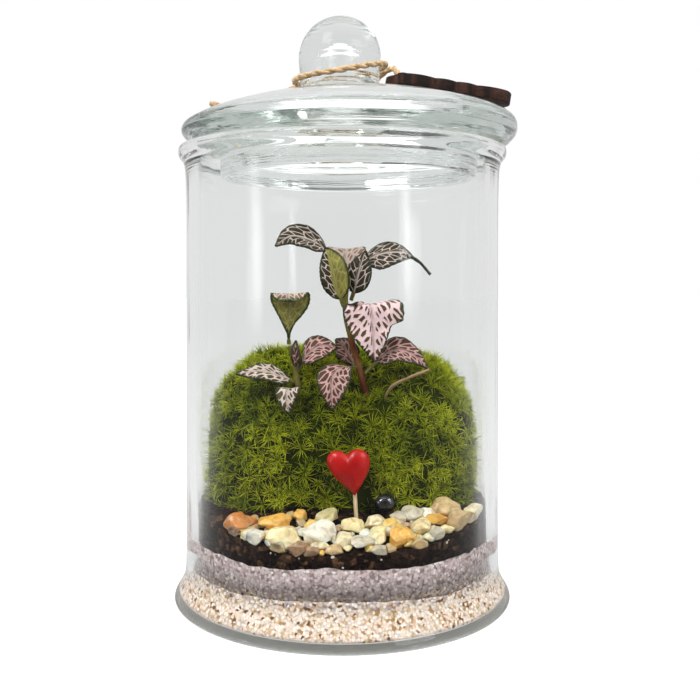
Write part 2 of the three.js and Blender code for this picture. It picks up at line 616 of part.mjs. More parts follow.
// Tag: a flat plate with scalloped edges and a hole at its left end, lying on the dome
function tagGeometry() {
  const outline = new THREE.Shape();
  const scallops = [[11, 0.5], [8, 0.5], [8, 0.5], [12, 0.5]];
  const [left, half] = [3.6, tag.width / 2];
  const start = tag.length - left - scallops.reduce((sum, [length]) => sum + length, 0);
  outline.moveTo(left, -half * 0.5);
  outline.quadraticCurveTo(left + 1, -half, left + start * 0.5 + 1, -half * 0.9);
  let x = left + start * 0.5 + 1;
  scallops.forEach(([length]) => {
    outline.quadraticCurveTo(x + length / 2, -half * 1.1, x + length, -half * 0.9);
    x += length;
  });
  outline.quadraticCurveTo(x + 5.4, -half * 0.5, x + 1, 0);
  outline.quadraticCurveTo(x + 5.4, half * 0.5, x, half * 0.9);
  [...scallops].reverse().forEach(([length]) => {
    outline.quadraticCurveTo(x - length / 2, half * 1.1, x - length, half * 0.9);
    x -= length;
  });
  outline.quadraticCurveTo(left + 1, half, left, half * 0.5);
  outline.quadraticCurveTo(-1.5, 0, left, -half * 0.5);
  const hole = new THREE.Path().absarc(tag.hole, 0, tag.holeRadius, 0, 2 * Math.PI, true);
  outline.holes.push(hole);
  const form = { depth: tag.thickness, bevelEnabled: false, curveSegments: 4 };
  const plate = new THREE.ExtrudeGeometry(outline, form);
  plate.rotateY(THREE.MathUtils.degToRad(tag.slope)).rotateZ(THREE.MathUtils.degToRad(tag.turn));
  return plate.translate(tag.x, tag.y, tag.z);
}

// Twine: from its cut end on the left of the lid, once round the knob, then down through the tag
const twineRoute = [
  [-52, 3, 190.6], [-45, 5.5, 189.6], [-36, 9, 192], [-27, 12.6, 195.4], [-19, 15.6, 199.2],
  [-10, 15.8, 202.2], [-1, 17.7, 203.5], [7.8, 15.3, 204.4], [14.3, 8.9, 205], [16.7, 0, 205],
  [14.3, -8.8, 203.6], [7.8, -15.3, 201.4], [-1, -17.6, 199.4], [-9.9, -15.3, 198.5],
  [-16.3, -8.8, 198.4], [-18.6, 0, 198.6], [-16.3, 8.8, 198.4], [-9.9, 15.3, 198.3], [-1, 17.6, 198.2],
  [7.8, 16, 198.5], [13.1, 15.2, 201.5], [16.4, 12.4, 204.3], [19.8, 6.7, 205.1], [21.3, 2.9, 203],
  [21.8, 0.8, 199.6], [22, 0.2, 195.4],
];
const twineGeometry = () => tube(twineRoute, twine.radius, twine.steps, twine.sides);

const creamSide = [[57.8, 0], [60.4, 3], [60.7, 3.9], [60, 5.2], [58.8, 7.2], [56.8, 10.4]];
const group = new THREE.Group();
function add(name, body, color, roughness, extra = {}) {
  const material = new THREE.MeshStandardMaterial({ color, roughness, metalness: 0, ...extra });
  const mesh = new THREE.Mesh(geometryOf(body), material);
  mesh.name = name;
  group.add(mesh);
}

const glass = { transparent: true, opacity: 0.3 };
add('jar_glass', jarSolid(), 0xe6eeea, 0.05, glass);
add('lid_glass', lidSolid(), 0xe6eeea, 0.05, glass);
add('sand_cream', layer(() => jar.floor + gap, creamTop, creamSide), 0xe2cdb0, 0.9);
add('sand_grey', layer(above(creamTop, gap), greyTop), 0xa9a2a8, 0.9);
add('soil', soilSolid(), 0x2a1b14, 1);
add('moss', mossSolid(), 0x6d8a1c, 0.9);
stems.forEach((s) => add(s.name, solid(tube(s.route, s.radius, stemSteps)), 0x7a5a35, 0.7));
leaves.filter((leaf) => !leaf.pairedWith).forEach((leaf) => {
  const pair = leaves.filter((other) => other.pairedWith === leaf.name);
  const body = pair.reduce((joined, other) => joined.add(solid(leafBlade(other))), solid(leafBlade(leaf)));
  add(leaf.name, body, 0xe7b6bd, 0.6);
});
pebbleSolids().forEach(([name, body]) => add(name, body, 0xe8cf9a, 0.4));
add('gem', solid(gemGeometry()), 0x0b0b0d, 0.1);
add('heart', solid(heartGeometry()), 0xb80f18, 0.25);
add('heart_stick', solid(stickTube()), 0xd8c19a, 0.8);
add('tag', solid(tagGeometry()), 0x3a1f16, 0.8);
add('twine', solid(twineGeometry()), 0xc79a63, 0.9);

export default group;
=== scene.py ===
import math
import random

import bpy
import numpy as np
from mathutils import Matrix, Vector, noise
from mathutils.kdtree import KDTree


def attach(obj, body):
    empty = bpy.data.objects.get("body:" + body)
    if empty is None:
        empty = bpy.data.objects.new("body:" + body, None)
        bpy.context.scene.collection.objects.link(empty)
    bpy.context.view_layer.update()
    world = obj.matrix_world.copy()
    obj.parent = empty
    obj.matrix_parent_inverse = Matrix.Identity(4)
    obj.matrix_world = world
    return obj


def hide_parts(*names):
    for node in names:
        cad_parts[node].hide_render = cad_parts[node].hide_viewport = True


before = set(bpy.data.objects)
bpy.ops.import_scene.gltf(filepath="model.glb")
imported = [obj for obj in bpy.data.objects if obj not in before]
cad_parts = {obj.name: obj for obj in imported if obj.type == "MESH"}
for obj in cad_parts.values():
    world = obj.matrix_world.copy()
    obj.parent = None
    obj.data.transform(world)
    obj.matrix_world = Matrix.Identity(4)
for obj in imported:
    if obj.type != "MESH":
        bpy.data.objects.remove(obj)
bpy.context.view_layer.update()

mm = 0.001  # sizes below are in millimetres, meshes are in metres


# Small helpers

def pickOnly(piece):
    if bpy.context.object and bpy.context.object.mode != "OBJECT":
        bpy.ops.object.mode_set(mode="OBJECT")
    bpy.ops.object.select_all(action="DESELECT")
    piece.select_set(True)
    bpy.context.view_layer.objects.active = piece


def applyAll(piece):
    pickOnly(piece)
    for modifier in list(piece.modifiers):
        bpy.ops.object.modifier_apply(modifier=modifier.name)


def smoothFaces(piece):
    piece.data.polygons.foreach_set("use_smooth", [True] * len(piece.data.polygons))
    piece.data.update()


def finishPiece(piece, nodes, slotName, *finishes):
    piece.data.materials.clear()
    for finish in finishes:
        piece.data.materials.append(finish)
    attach(piece, "root")
    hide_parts(*nodes)


def meshPiece(name, points, faces):
    mesh = bpy.data.meshes.new(name)
    mesh.from_pydata(points, [], faces)
    mesh.update()
    piece = bpy.data.objects.new(name, mesh)
    bpy.context.scene.collection.objects.link(piece)
    return piece


def joinPieces(name, pieces):
    pickOnly(pieces[0])
    for piece in pieces:
        piece.select_set(True)
    bpy.ops.object.join()
    pieces[0].name = name
    pieces[0].data.name = name
    return pieces[0]


def storeValues(piece, name, values):
    layer = piece.data.attributes.new(name, "FLOAT", "POINT")
    layer.data.foreach_set("value", values)


def storeTint(piece, name, colour):
    layer = piece.data.attributes.new(name, "FLOAT_COLOR", "POINT")
    layer.data.foreach_set("color", [*colour, 1.0] * len(piece.data.vertices))


# A point moved straight in towards the jar's axis until it is no further out than reach
def heldIn(point, reach):
    inside = min(1, reach / math.hypot(point.x, point.y))
    return Vector((point.x * inside, point.y * inside, point.z))


# A line of [radius, height] points is drawn out from one vertex and spun round the axis
def spunPiece(name, profile, steps, levels):
    bpy.ops.object.select_all(action="DESELECT")
    bpy.ops.mesh.primitive_plane_add(size=mm)
    piece = bpy.context.object
    piece.name = name
    bpy.ops.object.mode_set(mode="EDIT")
    bpy.ops.mesh.select_all(action="SELECT")
    bpy.ops.mesh.merge(type="CENTER")
    start = Vector((profile[0][0], 0, profile[0][1])) * mm
    bpy.ops.transform.translate(value=start)
    for (r0, z0), (r1, z1) in zip(profile, profile[1:]):
        move = ((r1 - r0) * mm, 0, (z1 - z0) * mm)
        bpy.ops.mesh.extrude_region_move(TRANSFORM_OT_translate={"value": move})
    bpy.ops.mesh.select_all(action="SELECT")
    bpy.ops.mesh.spin(steps=steps, angle=2 * math.pi, center=(0, 0, 0), axis=(0, 0, 1))
    bpy.ops.mesh.select_all(action="SELECT")
    bpy.ops.mesh.remove_doubles(threshold=1e-6)
    bpy.ops.mesh.normals_make_consistent(inside=False)
    bpy.ops.object.mode_set(mode="OBJECT")
    if levels:
        soften = piece.modifiers.new("soften", "SUBSURF")
        soften.levels = soften.render_levels = levels
    applyAll(piece)
    smoothFaces(piece)
    return piece


def camelName(name):
    first, *rest = name.split("_")
    return first + "".join(word.title() for word in rest)


def arcPoints(r, z, radius, start, end, steps):
    points = []
    for i in range(steps + 1):
        angle = math.radians(start + (end - start) * i / steps)
        points.append((r + radius * math.cos(angle), z + radius * math.sin(angle)))
    return points


def easeStep(value, low, high):
    t = min(max((value - low) / (high - low), 0), 1)
    return t * t * (3 - 2 * t)


# A smooth line through points, and places along it by length
class Route:
    def __init__(self, points, fine=24):
        given = [Vector(p) for p in points]
        ends = [given[0] * 2 - given[1]] + given + [given[-1] * 2 - given[-2]]
        line = []
        for i in range(1, len(ends) - 2):
            p0, p1, p2, p3 = ends[i - 1:i + 3]
            t1 = (p1 - p0).length ** 0.5
            t2 = t1 + (p2 - p1).length ** 0.5
            t3 = t2 + (p3 - p2).length ** 0.5
            for k in range(fine):
                t = t1 + (t2 - t1) * k / fine
                a1 = p0.lerp(p1, t / t1)
                a2 = p1.lerp(p2, (t - t1) / (t2 - t1))
                a3 = p2.lerp(p3, (t - t2) / (t3 - t2))
                b1 = a1.lerp(a2, t / t2)
                b2 = a2.lerp(a3, (t - t1) / (t3 - t1))
                line.append(b1.lerp(b2, (t - t1) / (t2 - t1)))
        line.append(given[-1])
        self.line = line
        self.marks = [0.0]
        for one, other in zip(line, line[1:]):
            self.marks.append(self.marks[-1] + (other - one).length)
        self.length = self.marks[-1]

    def at(self, share):
        want = min(max(share, 0), 1) * self.length
        place = int(np.searchsorted(self.marks, want))
        place = min(max(place, 1), len(self.line) - 1)
        low, high = self.marks[place - 1], self.marks[place]
        return self.line[place - 1].lerp(self.line[place], (want - low) / max(high - low, 1e-9))

    def way(self, share):
        return (self.at(share + 0.004) - self.at(share - 0.004)).normalized()


# A tube round a route: rings of points that keep their turn from one to the next
def tubeMesh(route, steps, sides, radiusAt, offset=0.0, twist=0.0, phase=0.0):
    points, faces = [], []
    side = route.way(0).orthogonal().normalized()
    for i in range(steps + 1):
        share = i / steps
        centre, way = route.at(share), route.way(share)
        side = (side - way * side.dot(way)).normalized()
        other = way.cross(side)
        spin = phase + twist * share
        centre = centre + (side * math.cos(spin) + other * math.sin(spin)) * offset
        for k in range(sides):
            angle = 2 * math.pi * k / sides
            points.append(centre + (side * math.cos(angle) + other * math.sin(angle)) * radiusAt(share))
    for i in range(steps):
        for k in range(sides):
            a, b = i * sides + k, i * sides + (k + 1) % sides
            faces.append((a, b, b + sides, a + sides))
    faces.append(tuple(reversed(range(sides))))
    faces.append(tuple(range(steps * sides, (steps + 1) * sides)))
    return [p * mm for p in points], faces


# Node helpers for the finishes

def newFinish(name, roughness=0.5, **constants):
    finish = bpy.data.materials.new(name)
    finish.use_nodes = True
    tree = finish.node_tree
    shader = tree.nodes["Principled BSDF"]
    shader.inputs["Roughness"].default_value = roughness
    for key, value in constants.items():
        shader.inputs[key.replace("_", " ")].default_value = value
    return finish, tree, shader


def addNode(tree, kind, settings=None, **inputs):
    made = tree.nodes.new("ShaderNode" + kind)
    for key, value in (settings or {}).items():
        setattr(made, key, value)
    for key, value in inputs.items():
        socket = made.inputs[key.replace("_", " ")]
        if isinstance(value, bpy.types.NodeSocket):
            tree.links.new(value, socket)
        else:
            socket.default_value = value
    return made


def addRamp(tree, factor, stops, fade="LINEAR"):
    made = addNode(tree, "ValToRGB", Fac=factor)
    made.color_ramp.interpolation = fade
    elements = made.color_ramp.elements
    while len(elements) < len(stops):
        elements.new(1)
    for element, (position, colour) in zip(elements, stops):
        element.position = position
        element.color = (*colour, 1) if len(colour) == 3 else colour
    return made.outputs["Color"]


def addMix(tree, factor, first, second, blend="MIX"):
    made = tree.nodes.new("ShaderNodeMix")
    made.data_type = "RGBA"
    made.blend_type = blend
    for index, value in ((0, factor), (6, first), (7, second)):
        if isinstance(value, bpy.types.NodeSocket):
            tree.links.new(value, made.inputs[index])
        elif index == 0:
            made.inputs[index].default_value = value
        else:
            made.inputs[index].default_value = (*value, 1)
    return made.outputs[2]


def addMath(tree, operation, first, second=0.5, third=0.0):
    made = tree.nodes.new("ShaderNodeMath")
    made.operation = operation
    for index, value in ((0, first), (1, second), (2, third)):
        if isinstance(value, bpy.types.NodeSocket):
            tree.links.new(value, made.inputs[index])
        else:
            made.inputs[index].default_value = value
    return made.outputs[0]


def addRange(tree, value, low, high, start=0.0, end=1.0):
    made = addNode(tree, "MapRange", {"interpolation_type": "SMOOTHSTEP"}, Value=value)
    made.inputs["From Min"].default_value = low
    made.inputs["From Max"].default_value = high
    made.inputs["To Min"].default_value = start
    made.inputs["To Max"].default_value = end
    return made.outputs["Result"]


def objectPlace(tree, scale=(1, 1, 1), start=(0, 0, 0)):
    where = addNode(tree, "TexCoord").outputs["Object"]
    return addNode(tree, "Mapping", Vector=where, Location=start, Scale=scale).outputs["Vector"]


def objectAxis(tree, axis):
    return addNode(tree, "SeparateXYZ", Vector=objectPlace(tree)).outputs[axis]


# One value as a grey, and noise in place or over a flat map
def addGrey(tree, value):
    return addNode(tree, "CombineColor", Red=value, Green=value, Blue=value).outputs["Color"]


def addNoise(tree, place, scale, detail, **more):
    return addNode(tree, "TexNoise", Vector=place, Scale=scale, Detail=detail, **more).outputs["Fac"]


def addFlatNoise(tree, place, scale, detail, output="Fac"):
    made = addNode(tree, "TexNoise", {"noise_dimensions": "2D"}, Vector=place, Scale=scale, Detail=detail)
    return made.outputs[output]


def paint(tree, shader, colour):
    tree.links.new(colour, shader.inputs["Base Color"])


def addBump(tree, shader, height, strength, distance):
    bump = addNode(tree, "Bump", Height=height, Strength=strength, Distance=distance)
    tree.links.new(bump.outputs["Normal"], shader.inputs["Normal"])


# Camera at the photograph's height and distance, level
cameraSettings = {"place": (0, -0.3664, 0.1243), "lens": 48.34, "shiftX": 0.011, "shiftY": -0.1114,
                  "near": 0.01}
cameraData = bpy.data.cameras.new("camera")
cameraData.lens = cameraSettings["lens"]
cameraData.shift_x = cameraSettings["shiftX"]
cameraData.shift_y = cameraSettings["shiftY"]
cameraData.clip_start = cameraSettings["near"]
camera = bpy.data.objects.new("camera", cameraData)
camera.location = cameraSettings["place"]
camera.rotation_euler = (math.radians(90), 0, 0)
bpy.context.scene.collection.objects.link(camera)
bpy.context.scene.camera = camera
print("camera placed")


# Twine: two plies of jute on the route that the solid follows, from the tag to the cut end
twineSettings = {
    "diameter": 2.4, "plies": 2, "plyRadius": 0.83, "plyOffset": 0.42, "pitch": 9.5, "steps": 460,
    "sides": 10,
    "uneven": 0.05, "marks": 160, "hairs": 900, "hairLength": 1.3, "hairRadius": 0.035,
    "route": [
        (22, 0.2, 195.4), (21.8, 0.8, 199.6), (21.3, 2.9, 203), (19.8, 6.7, 205.1), (16.4, 12.4, 204.3),
        (13.1, 15.2, 201.5), (7.8, 16, 198.5), (-1, 17.6, 198.2), (-9.9, 15.3, 198.3), (-16.3, 8.8, 198.4),
        (-18.6, 0, 198.6), (-16.3, -8.8, 198.4), (-9.9, -15.3, 198.5), (-1, -17.6, 199.4),
        (7.8, -15.3, 201.4), (14.3, -8.8, 203.6), (16.7, 0, 205), (14.3, 8.9, 205), (7.8, 15.3, 204.4),
        (-1, 17.7, 203.5), (-10, 15.8, 202.2), (-19, 15.6, 199.2), (-27, 12.6, 195.4), (-36, 9, 192),
        (-45, 5.5, 189.6), (-52, 3, 190.6),
    ],
    "fibres": [(0.25, (0.28, 0.16, 0.07)), (0.42, (0.58, 0.39, 0.2)), (0.58, (0.76, 0.56, 0.33)),
               (0.78, (0.9, 0.76, 0.53))],
}


def juteFinish(stops):
    finish, tree, shader = newFinish("juteTwine", 0.85)
    turn = addNode(tree, "UVMap", {"uv_map": "strand"}).outputs["UV"]
    drawn = addNode(tree, "Mapping", Vector=turn, Scale=(11, 0.7, 1)).outputs["Vector"]
    fibre = addFlatNoise(tree, drawn, 1.0, 5.0)
    patch = addNoise(tree, objectPlace(tree), 260.0, 2.0)
    shade = addRamp(tree, patch, [(0.3, (0.78, 0.72, 0.66)), (0.7, (1, 1, 1))])
    colour = addMix(tree, 1.0, addRamp(tree, fibre, stops), shade, "MULTIPLY")
    paint(tree, shader, colour)
    addBump(tree, shader, fibre, 0.7, 0.2 * mm)
    return finish


def makeTwine(settings):
    route = Route(settings["route"])
    twist = 2 * math.pi * route.length / settings["pitch"]
    plies = []
    for ply in range(settings["plies"]):

        def radiusAt(share):
            return settings["plyRadius"] * (1 + settings["uneven"] * math.sin(share * 70 + ply))

        start = 2 * math.pi * ply / settings["plies"]
        points, faces = tubeMesh(route, settings["steps"], settings["sides"], radiusAt,
                                 settings["plyOffset"], twist, start)
        piece = meshPiece("twinePly", points, faces)
        layer = piece.data.uv_layers.new(name="strand")
        for loop in piece.data.loops:
            ring, side = divmod(loop.vertex_index, settings["sides"])
            along = route.length * ring / settings["steps"]
            layer.data[loop.index].uv = (side / settings["sides"] + along / settings["pitch"], along)
        smoothFaces(piece)
        plies.append(piece)
    twine = joinPieces("twineCord", plies)
    finishPiece(twine, ["twine"], "jute_twine", juteFinish(settings["fibres"]))


# Loose fibres that stand off the twine, each a thin bent blade
def makeFuzz(settings):
    route = Route(settings["route"])
    draw = random.Random(5)
    points, faces = [], []
    for _ in range(settings["hairs"]):
        share = draw.random()
        way = route.way(share)
        side = way.orthogonal().normalized()
        angle = draw.uniform(0, 2 * math.pi)
        out = side * math.cos(angle) + way.cross(side) * math.sin(angle)
        length = settings["hairLength"] * draw.uniform(0.4, 1)
        root = route.at(share) + out * settings["diameter"] * 0.4
        lean = way * draw.choice((-1, 1))
        middle = root + (out * 0.35 + lean * 0.5) * length * 0.5
        tip = root + (out * 0.45 + lean * 1.1) * length * 0.8
        thick = out.cross(way) * settings["hairRadius"]
        rise = out * settings["hairRadius"]
        first = len(points)
        for place in (root, middle):
            points += [(place + thick) * mm, (place - thick) * mm, (place + rise) * mm]
        points.append(tip * mm)
        for k in range(3):
            a, b = first + k, first + (k + 1) % 3
            faces += [(a, b, b + 3, a + 3), (a + 3, b + 3, first + 6)]
        faces.append((first + 2, first + 1, first))
    fuzz = meshPiece("twineFuzz", points, faces)
    finishPiece(fuzz, ["twine"], "jute_twine", juteFinish(settings["fibres"]))


makeTwine(twineSettings)
makeFuzz(twineSettings)
print("twine laid")


# Clear glass: lamps reach what is inside, and long ways through it take a faint grey-green tint
glassSettings = {
    "tint": (0.965, 0.975, 0.97), "body": (0.82, 0.852, 0.836), "ior": 1.47, "passes": (0.95, 0.955, 0.95),
    "slantGlare": 0.9, "slantFrom": 0.42, "slantTo": 0.66, "groundBase": 0.2, "groundTop": (0.2, 0.6),
}
jarGlass = {"density": 13.0, "glare": 0.26, "ripple": (55.0, 55.0, 2.6), "depth": 0.5, "from": 20}
lidGlass = {"density": 25.0, "glare": 0.17, "ripple": (9.0, 9.0, 430.0), "depth": 0.8, "from": -1000}


# The ripples run upright in the jar and round the axis in the lid, and the jar's underside is ground
def glassFinish(name, kind, settings):
    finish, tree, shader = newFinish(name, 0.0, IOR=settings["ior"], Transmission_Weight=1.0)
    shader.inputs["Base Color"].default_value = (*settings["tint"], 1)
    slant = addNode(tree, "LayerWeight").outputs["Facing"]
    glare = addRange(tree, slant, settings["slantFrom"], settings["slantTo"], kind["glare"],
                     settings["slantGlare"])
    tree.links.new(addGrey(tree, glare), shader.inputs["Specular Tint"])
    waves = addNoise(tree, objectPlace(tree, kind["ripple"]), 1.0, 2.5)
    height = objectAxis(tree, "Z")
    fade = addRange(tree, height, kind["from"] * mm, (kind["from"] + 20) * mm)
    low, high = settings["groundTop"]
    ground = addRange(tree, height, low * mm, high * mm, settings["groundBase"], 0.0)
    tree.links.new(ground, shader.inputs["Roughness"])
    addBump(tree, shader, addMath(tree, "MULTIPLY", waves, fade), 0.6, kind["depth"] * mm)
    light = addNode(tree, "LightPath")
    through = addMath(tree, "MAXIMUM", light.outputs["Is Shadow Ray"], light.outputs["Is Diffuse Ray"])
    passing = addNode(tree, "BsdfTransparent", Color=(*settings["passes"], 1))
    mix = addNode(tree, "MixShader", Fac=through)
    tree.links.new(shader.outputs["BSDF"], mix.inputs[1])
    tree.links.new(passing.outputs["BSDF"], mix.inputs[2])
    out = tree.nodes["Material Output"]
    tree.links.new(mix.outputs["Shader"], out.inputs["Surface"])
    haze = addNode(tree, "VolumeAbsorption", Color=(*settings["body"], 1), Density=kind["density"])
    tree.links.new(haze.outputs["Volume"], out.inputs["Volume"])
    return finish


# Jar: wall, flared foot, bead round the mouth, each as radius and height
jarSettings = {
    "radius": 60, "inner": 56, "steps": 64,
    "foot": [(62.6, 0), (64.1, 0.8), (64.5, 1.7), (63.9, 3), (62.6, 5), (61.2, 7.6), (60.3, 10.4), (60, 15)],
    "bead": [(60, 164.4), (61.6, 166.4), (62.9, 168), (63.2, 169.2), (63.2, 171), (62, 172.3)],
    "mouth": [(56.9, 172.3), (56, 171.1)],
    "innerFoot": [(56, 16), (57.2, 10.6), (59.2, 7.4), (60.5, 5.2), (61.2, 3.8), (60.9, 2.7), (58.4, 2)],
    "base": 2, "ripple": 0.09, "outerFrom": 58, "rippleFrom": (12, 30), "rippleTo": (148, 163),
}


# Faint upright ripples in both faces of the blown wall
def rippleOut(place, amount, seed):
    angle = math.atan2(place.y, place.x)
    ring = Vector((math.cos(angle) * 3.4 + seed, math.sin(angle) * 3.4, place.z / mm / 55))
    return amount * mm * noise.fractal(ring, 1.0, 2.0, 3)


def makeJar(settings):
    wallHeights = (40, 70, 100, 130)
    wallOut = [(settings["radius"], z) for z in wallHeights]
    wallIn = [(settings["inner"], z) for z in reversed(wallHeights)]
    profile = [(0, 0), (40, 0), *settings["foot"], *wallOut, *settings["bead"], *settings["mouth"],
               *wallIn, *settings["innerFoot"], (30, settings["base"]), (0, settings["base"])]
    jar = spunPiece("jarGlass", profile, settings["steps"], 2)
    low, high = settings["rippleFrom"], settings["rippleTo"]
    for vertex in jar.data.vertices:
        x, y, z = vertex.co / mm
        radius = math.hypot(x, y)
        if radius > settings["inner"] - 6 and low[0] < z < high[1]:
            fade = easeStep(z, *low) * (1 - easeStep(z, *high))
            seed = 3.0 if radius > settings["outerFrom"] else 11.0
            grow = 1 + rippleOut(vertex.co, settings["ripple"] * fade, seed) / (radius * mm)
            vertex.co = Vector((x * grow, y * grow, z)) * mm
    finishPiece(jar, ["jar_glass"], "clear_glass", glassFinish("jarGlass", jarGlass, glassSettings))


makeJar(jarSettings)


# Lid: hollow knob, low dome, rounded rim and plug. The dome leans and the knob stands off the rim's middle
lidSettings = {
    "knob": 16.1, "knobHeight": 207.7, "hollow": 7.7, "hollowHeight": 204.6, "rim": 64.8, "rimRound": 4.4,
    "rimHeight": 178.6, "plug": 50.2, "wall": 3.6, "steps": 64,
    "neck": [(15.4, 199.6), (15.6, 196.4), (17.6, 194.4)],
    "dome": [(26, 192.4), (38, 190.6), (50, 187.3), (58, 184.7), (61.4, 182.9)],
    "under": [(61.6, 173.8), (60.6, 172.6)], "inside": [(43, 183), (34, 187), (14, 190.2), (8.8, 195)],
    "offset": 2.7, "lean": 0.021, "leanFrom": (174, 184), "shift": -3.7, "shiftFrom": (188, 198),
}


def makeLid(settings):
    plug, rimRound = settings["plug"], settings["rimRound"]
    inner = plug - settings["wall"]
    profile = [
        *arcPoints(0, settings["knobHeight"], settings["knob"], 90, -8, 8), *settings["neck"],
        *settings["dome"],
        *arcPoints(settings["rim"] - rimRound, settings["rimHeight"], rimRound, 40, -40, 3),
        *settings["under"],
        (plug, 172.6), (plug - 0.1, 166), (plug - 0.4, 160.8), (plug - 1.8, 160),
        (inner, 161.4), (inner, 177),
        *settings["inside"], *arcPoints(0, settings["hollowHeight"], settings["hollow"], 0, 90, 4),
    ]
    lid = spunPiece("lidGlass", profile, settings["steps"], 2)
    for vertex in lid.data.vertices:
        x, y, z = vertex.co / mm
        z += settings["lean"] * x * easeStep(z, *settings["leanFrom"])
        x += settings["offset"] + settings["shift"] * easeStep(z, *settings["shiftFrom"])
        vertex.co = Vector((x, y, z)) * mm
    finishPiece(lid, ["lid_glass"], "clear_glass", glassFinish("lidGlass", lidGlass, glassSettings))


makeLid(lidSettings)
print("jar and lid turned")


# Fillings: the same wavy surfaces as the solids, with a little more unevenness
layerTops = {"cream": 14.8, "grey": 25.8, "soil": 30.4}
soilSlope = {"front": -53, "deep": 26, "rise": 0.31}
fillReach = 55.6  # the pebbles and the needles keep within this radius, clear of the glass


def creamTop(x, y):
    return layerTops["cream"] + 0.7 * math.sin(x / 13 + 1) + 0.5 * math.cos(y / 11 + x / 17)


def greyTop(x, y):
    return layerTops["grey"] + 0.5 * math.sin(x / 9 + 2) + 0.4 * math.cos(y / 12 - x / 15)


def soilTop(x, y):
    rise = soilSlope["rise"] * min(max(y - soilSlope["front"], 0), soilSlope["deep"])
    return layerTops["soil"] + rise + 0.5 * math.sin(x / 7 + 0.6) * math.cos(y / 9)


def roughly(surface, amount, seed):
    def shaped(x, y):
        return surface(x, y) + amount * noise.fractal(Vector((x / 4, y / 4, seed)), 0.8, 2.0, 3)
    return shaped


creamRough = roughly(creamTop, 0.7, 1.5)
greyRough = roughly(greyTop, 0.8, 4.5)
soilRough = roughly(soilTop, 0.6, 8.5)


# Sand: each grain has one tone, and near the other layer some grains take that layer's tones
def grainFinish(name, size, palette, other, meets, bump, seed):
    finish, tree, shader = newFinish(name, 0.8, Specular_IOR_Level=0.25)
    place = objectPlace(tree, start=(seed, seed * 0.7, 0))
    coarse = addNode(tree, "TexVoronoi", Vector=place, Scale=1000 / size, Randomness=1.0)
    parts = addNode(tree, "SeparateColor", Color=coarse.outputs["Color"]).outputs
    own = addRamp(tree, parts["Red"], palette, "CONSTANT")
    strange = addRamp(tree, parts["Red"], other, "CONSTANT")
    depth = addMath(tree, "ABSOLUTE", addMath(tree, "SUBTRACT", objectAxis(tree, "Z"), meets * mm))
    chance = addRange(tree, depth, 0.3 * mm, 3.2 * mm, 0.5, 0.0)
    stray = addMath(tree, "LESS_THAN", parts["Green"], chance)
    colour = addMix(tree, stray, own, strange)
    fine = addNoise(tree, place, 2600 / size, 3.0)
    gloom = addRamp(tree, fine, [(0.3, (0.76, 0.74, 0.72)), (0.62, (1, 1, 1))])
    # Each grain is painted darker towards its edge: painted shade in the gaps between grains
    dark = addRange(tree, coarse.outputs["Distance"], 0.45, 0.85, 1.0, 0.62)
    body = addMix(tree, 1.0, addMix(tree, 1.0, colour, gloom, "MULTIPLY"), addGrey(tree, dark), "MULTIPLY")
    paint(tree, shader, body)
    addBump(tree, shader, coarse.outputs["Distance"], -bump, size * mm * 0.6)
    return finish


sandSettings = {
    "radius": 56.06, "soilRadius": 55.7, "steps": 128, "floor": 2.3,
    "creamSide": [(58.4, 0), (60.6, 2.9), (61.15, 3.9), (60.5, 5.3), (59.3, 7.4), (57.4, 10.4), (56.5, 13)],
    "creamGrains": [(0.0, (0.84, 0.69, 0.56)), (0.3, (0.95, 0.85, 0.76)), (0.56, (0.88, 0.7, 0.6)),
                    (0.74, (0.7, 0.49, 0.29)), (0.86, (0.44, 0.26, 0.12)), (0.95, (0.16, 0.08, 0.04))],
    "greyGrains": [(0.0, (0.24, 0.185, 0.18)), (0.12, (0.4, 0.315, 0.31)), (0.32, (0.5, 0.405, 0.4)),
                   (0.66, (0.58, 0.49, 0.48)), (0.9, (0.74, 0.66, 0.64))],
}


# A filling as a turned body: its rows carry a mark that says which surface they follow
def fillingPiece(name, low, high, side, reach, settings):
    shares = [0.0, 0.2, 0.4, 0.6, 0.75, 0.86, 0.94, 1.0]
    bottom = side[0][0] if side else reach
    profile = [(bottom * share, 1.0) for share in shares]
    profile += [(radius, 2.0 + i * 0.1) for i, (radius, z) in enumerate(side[1:])]
    profile += [(reach * share, 4.0) for share in reversed(shares)]
    piece = spunPiece(name, profile, settings["steps"], 0)
    for vertex in piece.data.vertices:
        x, y, row = vertex.co / mm
        if row < 1.5:
            z = low(x, y)
        elif row > 3.5:
            z = high(x, y)
        else:
            z = side[1 + round((row - 2.0) * 10)][1]
        vertex.co.z = z * mm
    soften = piece.modifiers.new("soften", "SUBSURF")
    soften.subdivision_type = "SIMPLE"
    soften.levels = soften.render_levels = 1
    applyAll(piece)
    smoothFaces(piece)
    return piece


def sandFloor(x, y):
    return sandSettings["floor"]


def makeSands(settings):
    creamGrains, greyGrains, meets = settings["creamGrains"], settings["greyGrains"], layerTops["cream"]
    creamLook = grainFinish("creamSand", 1.0, creamGrains, greyGrains, meets, 0.5, 0.1)
    greyLook = grainFinish("greySand", 0.95, greyGrains, creamGrains, meets, 0.4, 0.3)
    side, reach = settings["creamSide"], settings["radius"]
    cream = fillingPiece("sandCream", sandFloor, creamRough, side, reach, settings)
    finishPiece(cream, ["sand_cream"], "cream_sand", creamLook)
    grey = fillingPiece("sandGrey", creamRough, greyRough, [], reach, settings)
    finishPiece(grey, ["sand_grey"], "grey_sand", greyLook)


makeSands(sandSettings)
print("sands filled")


# Moss and the soil mound under it share one dome form, at two sizes
cushionSettings = {
    "y": 12.4, "base": 36, "across": 55.4, "deep": 42, "high": 59, "mound": 0.56, "needle": 5,
    "core": 52.6, "squareX": 4.6, "squareY": 2.8, "squareZ": 3,
    "hollows": [(7, -16, 81, 9, 5), (-16, -15, 82, 7, 3.5), (14, -14, 84, 7, 4)],
}


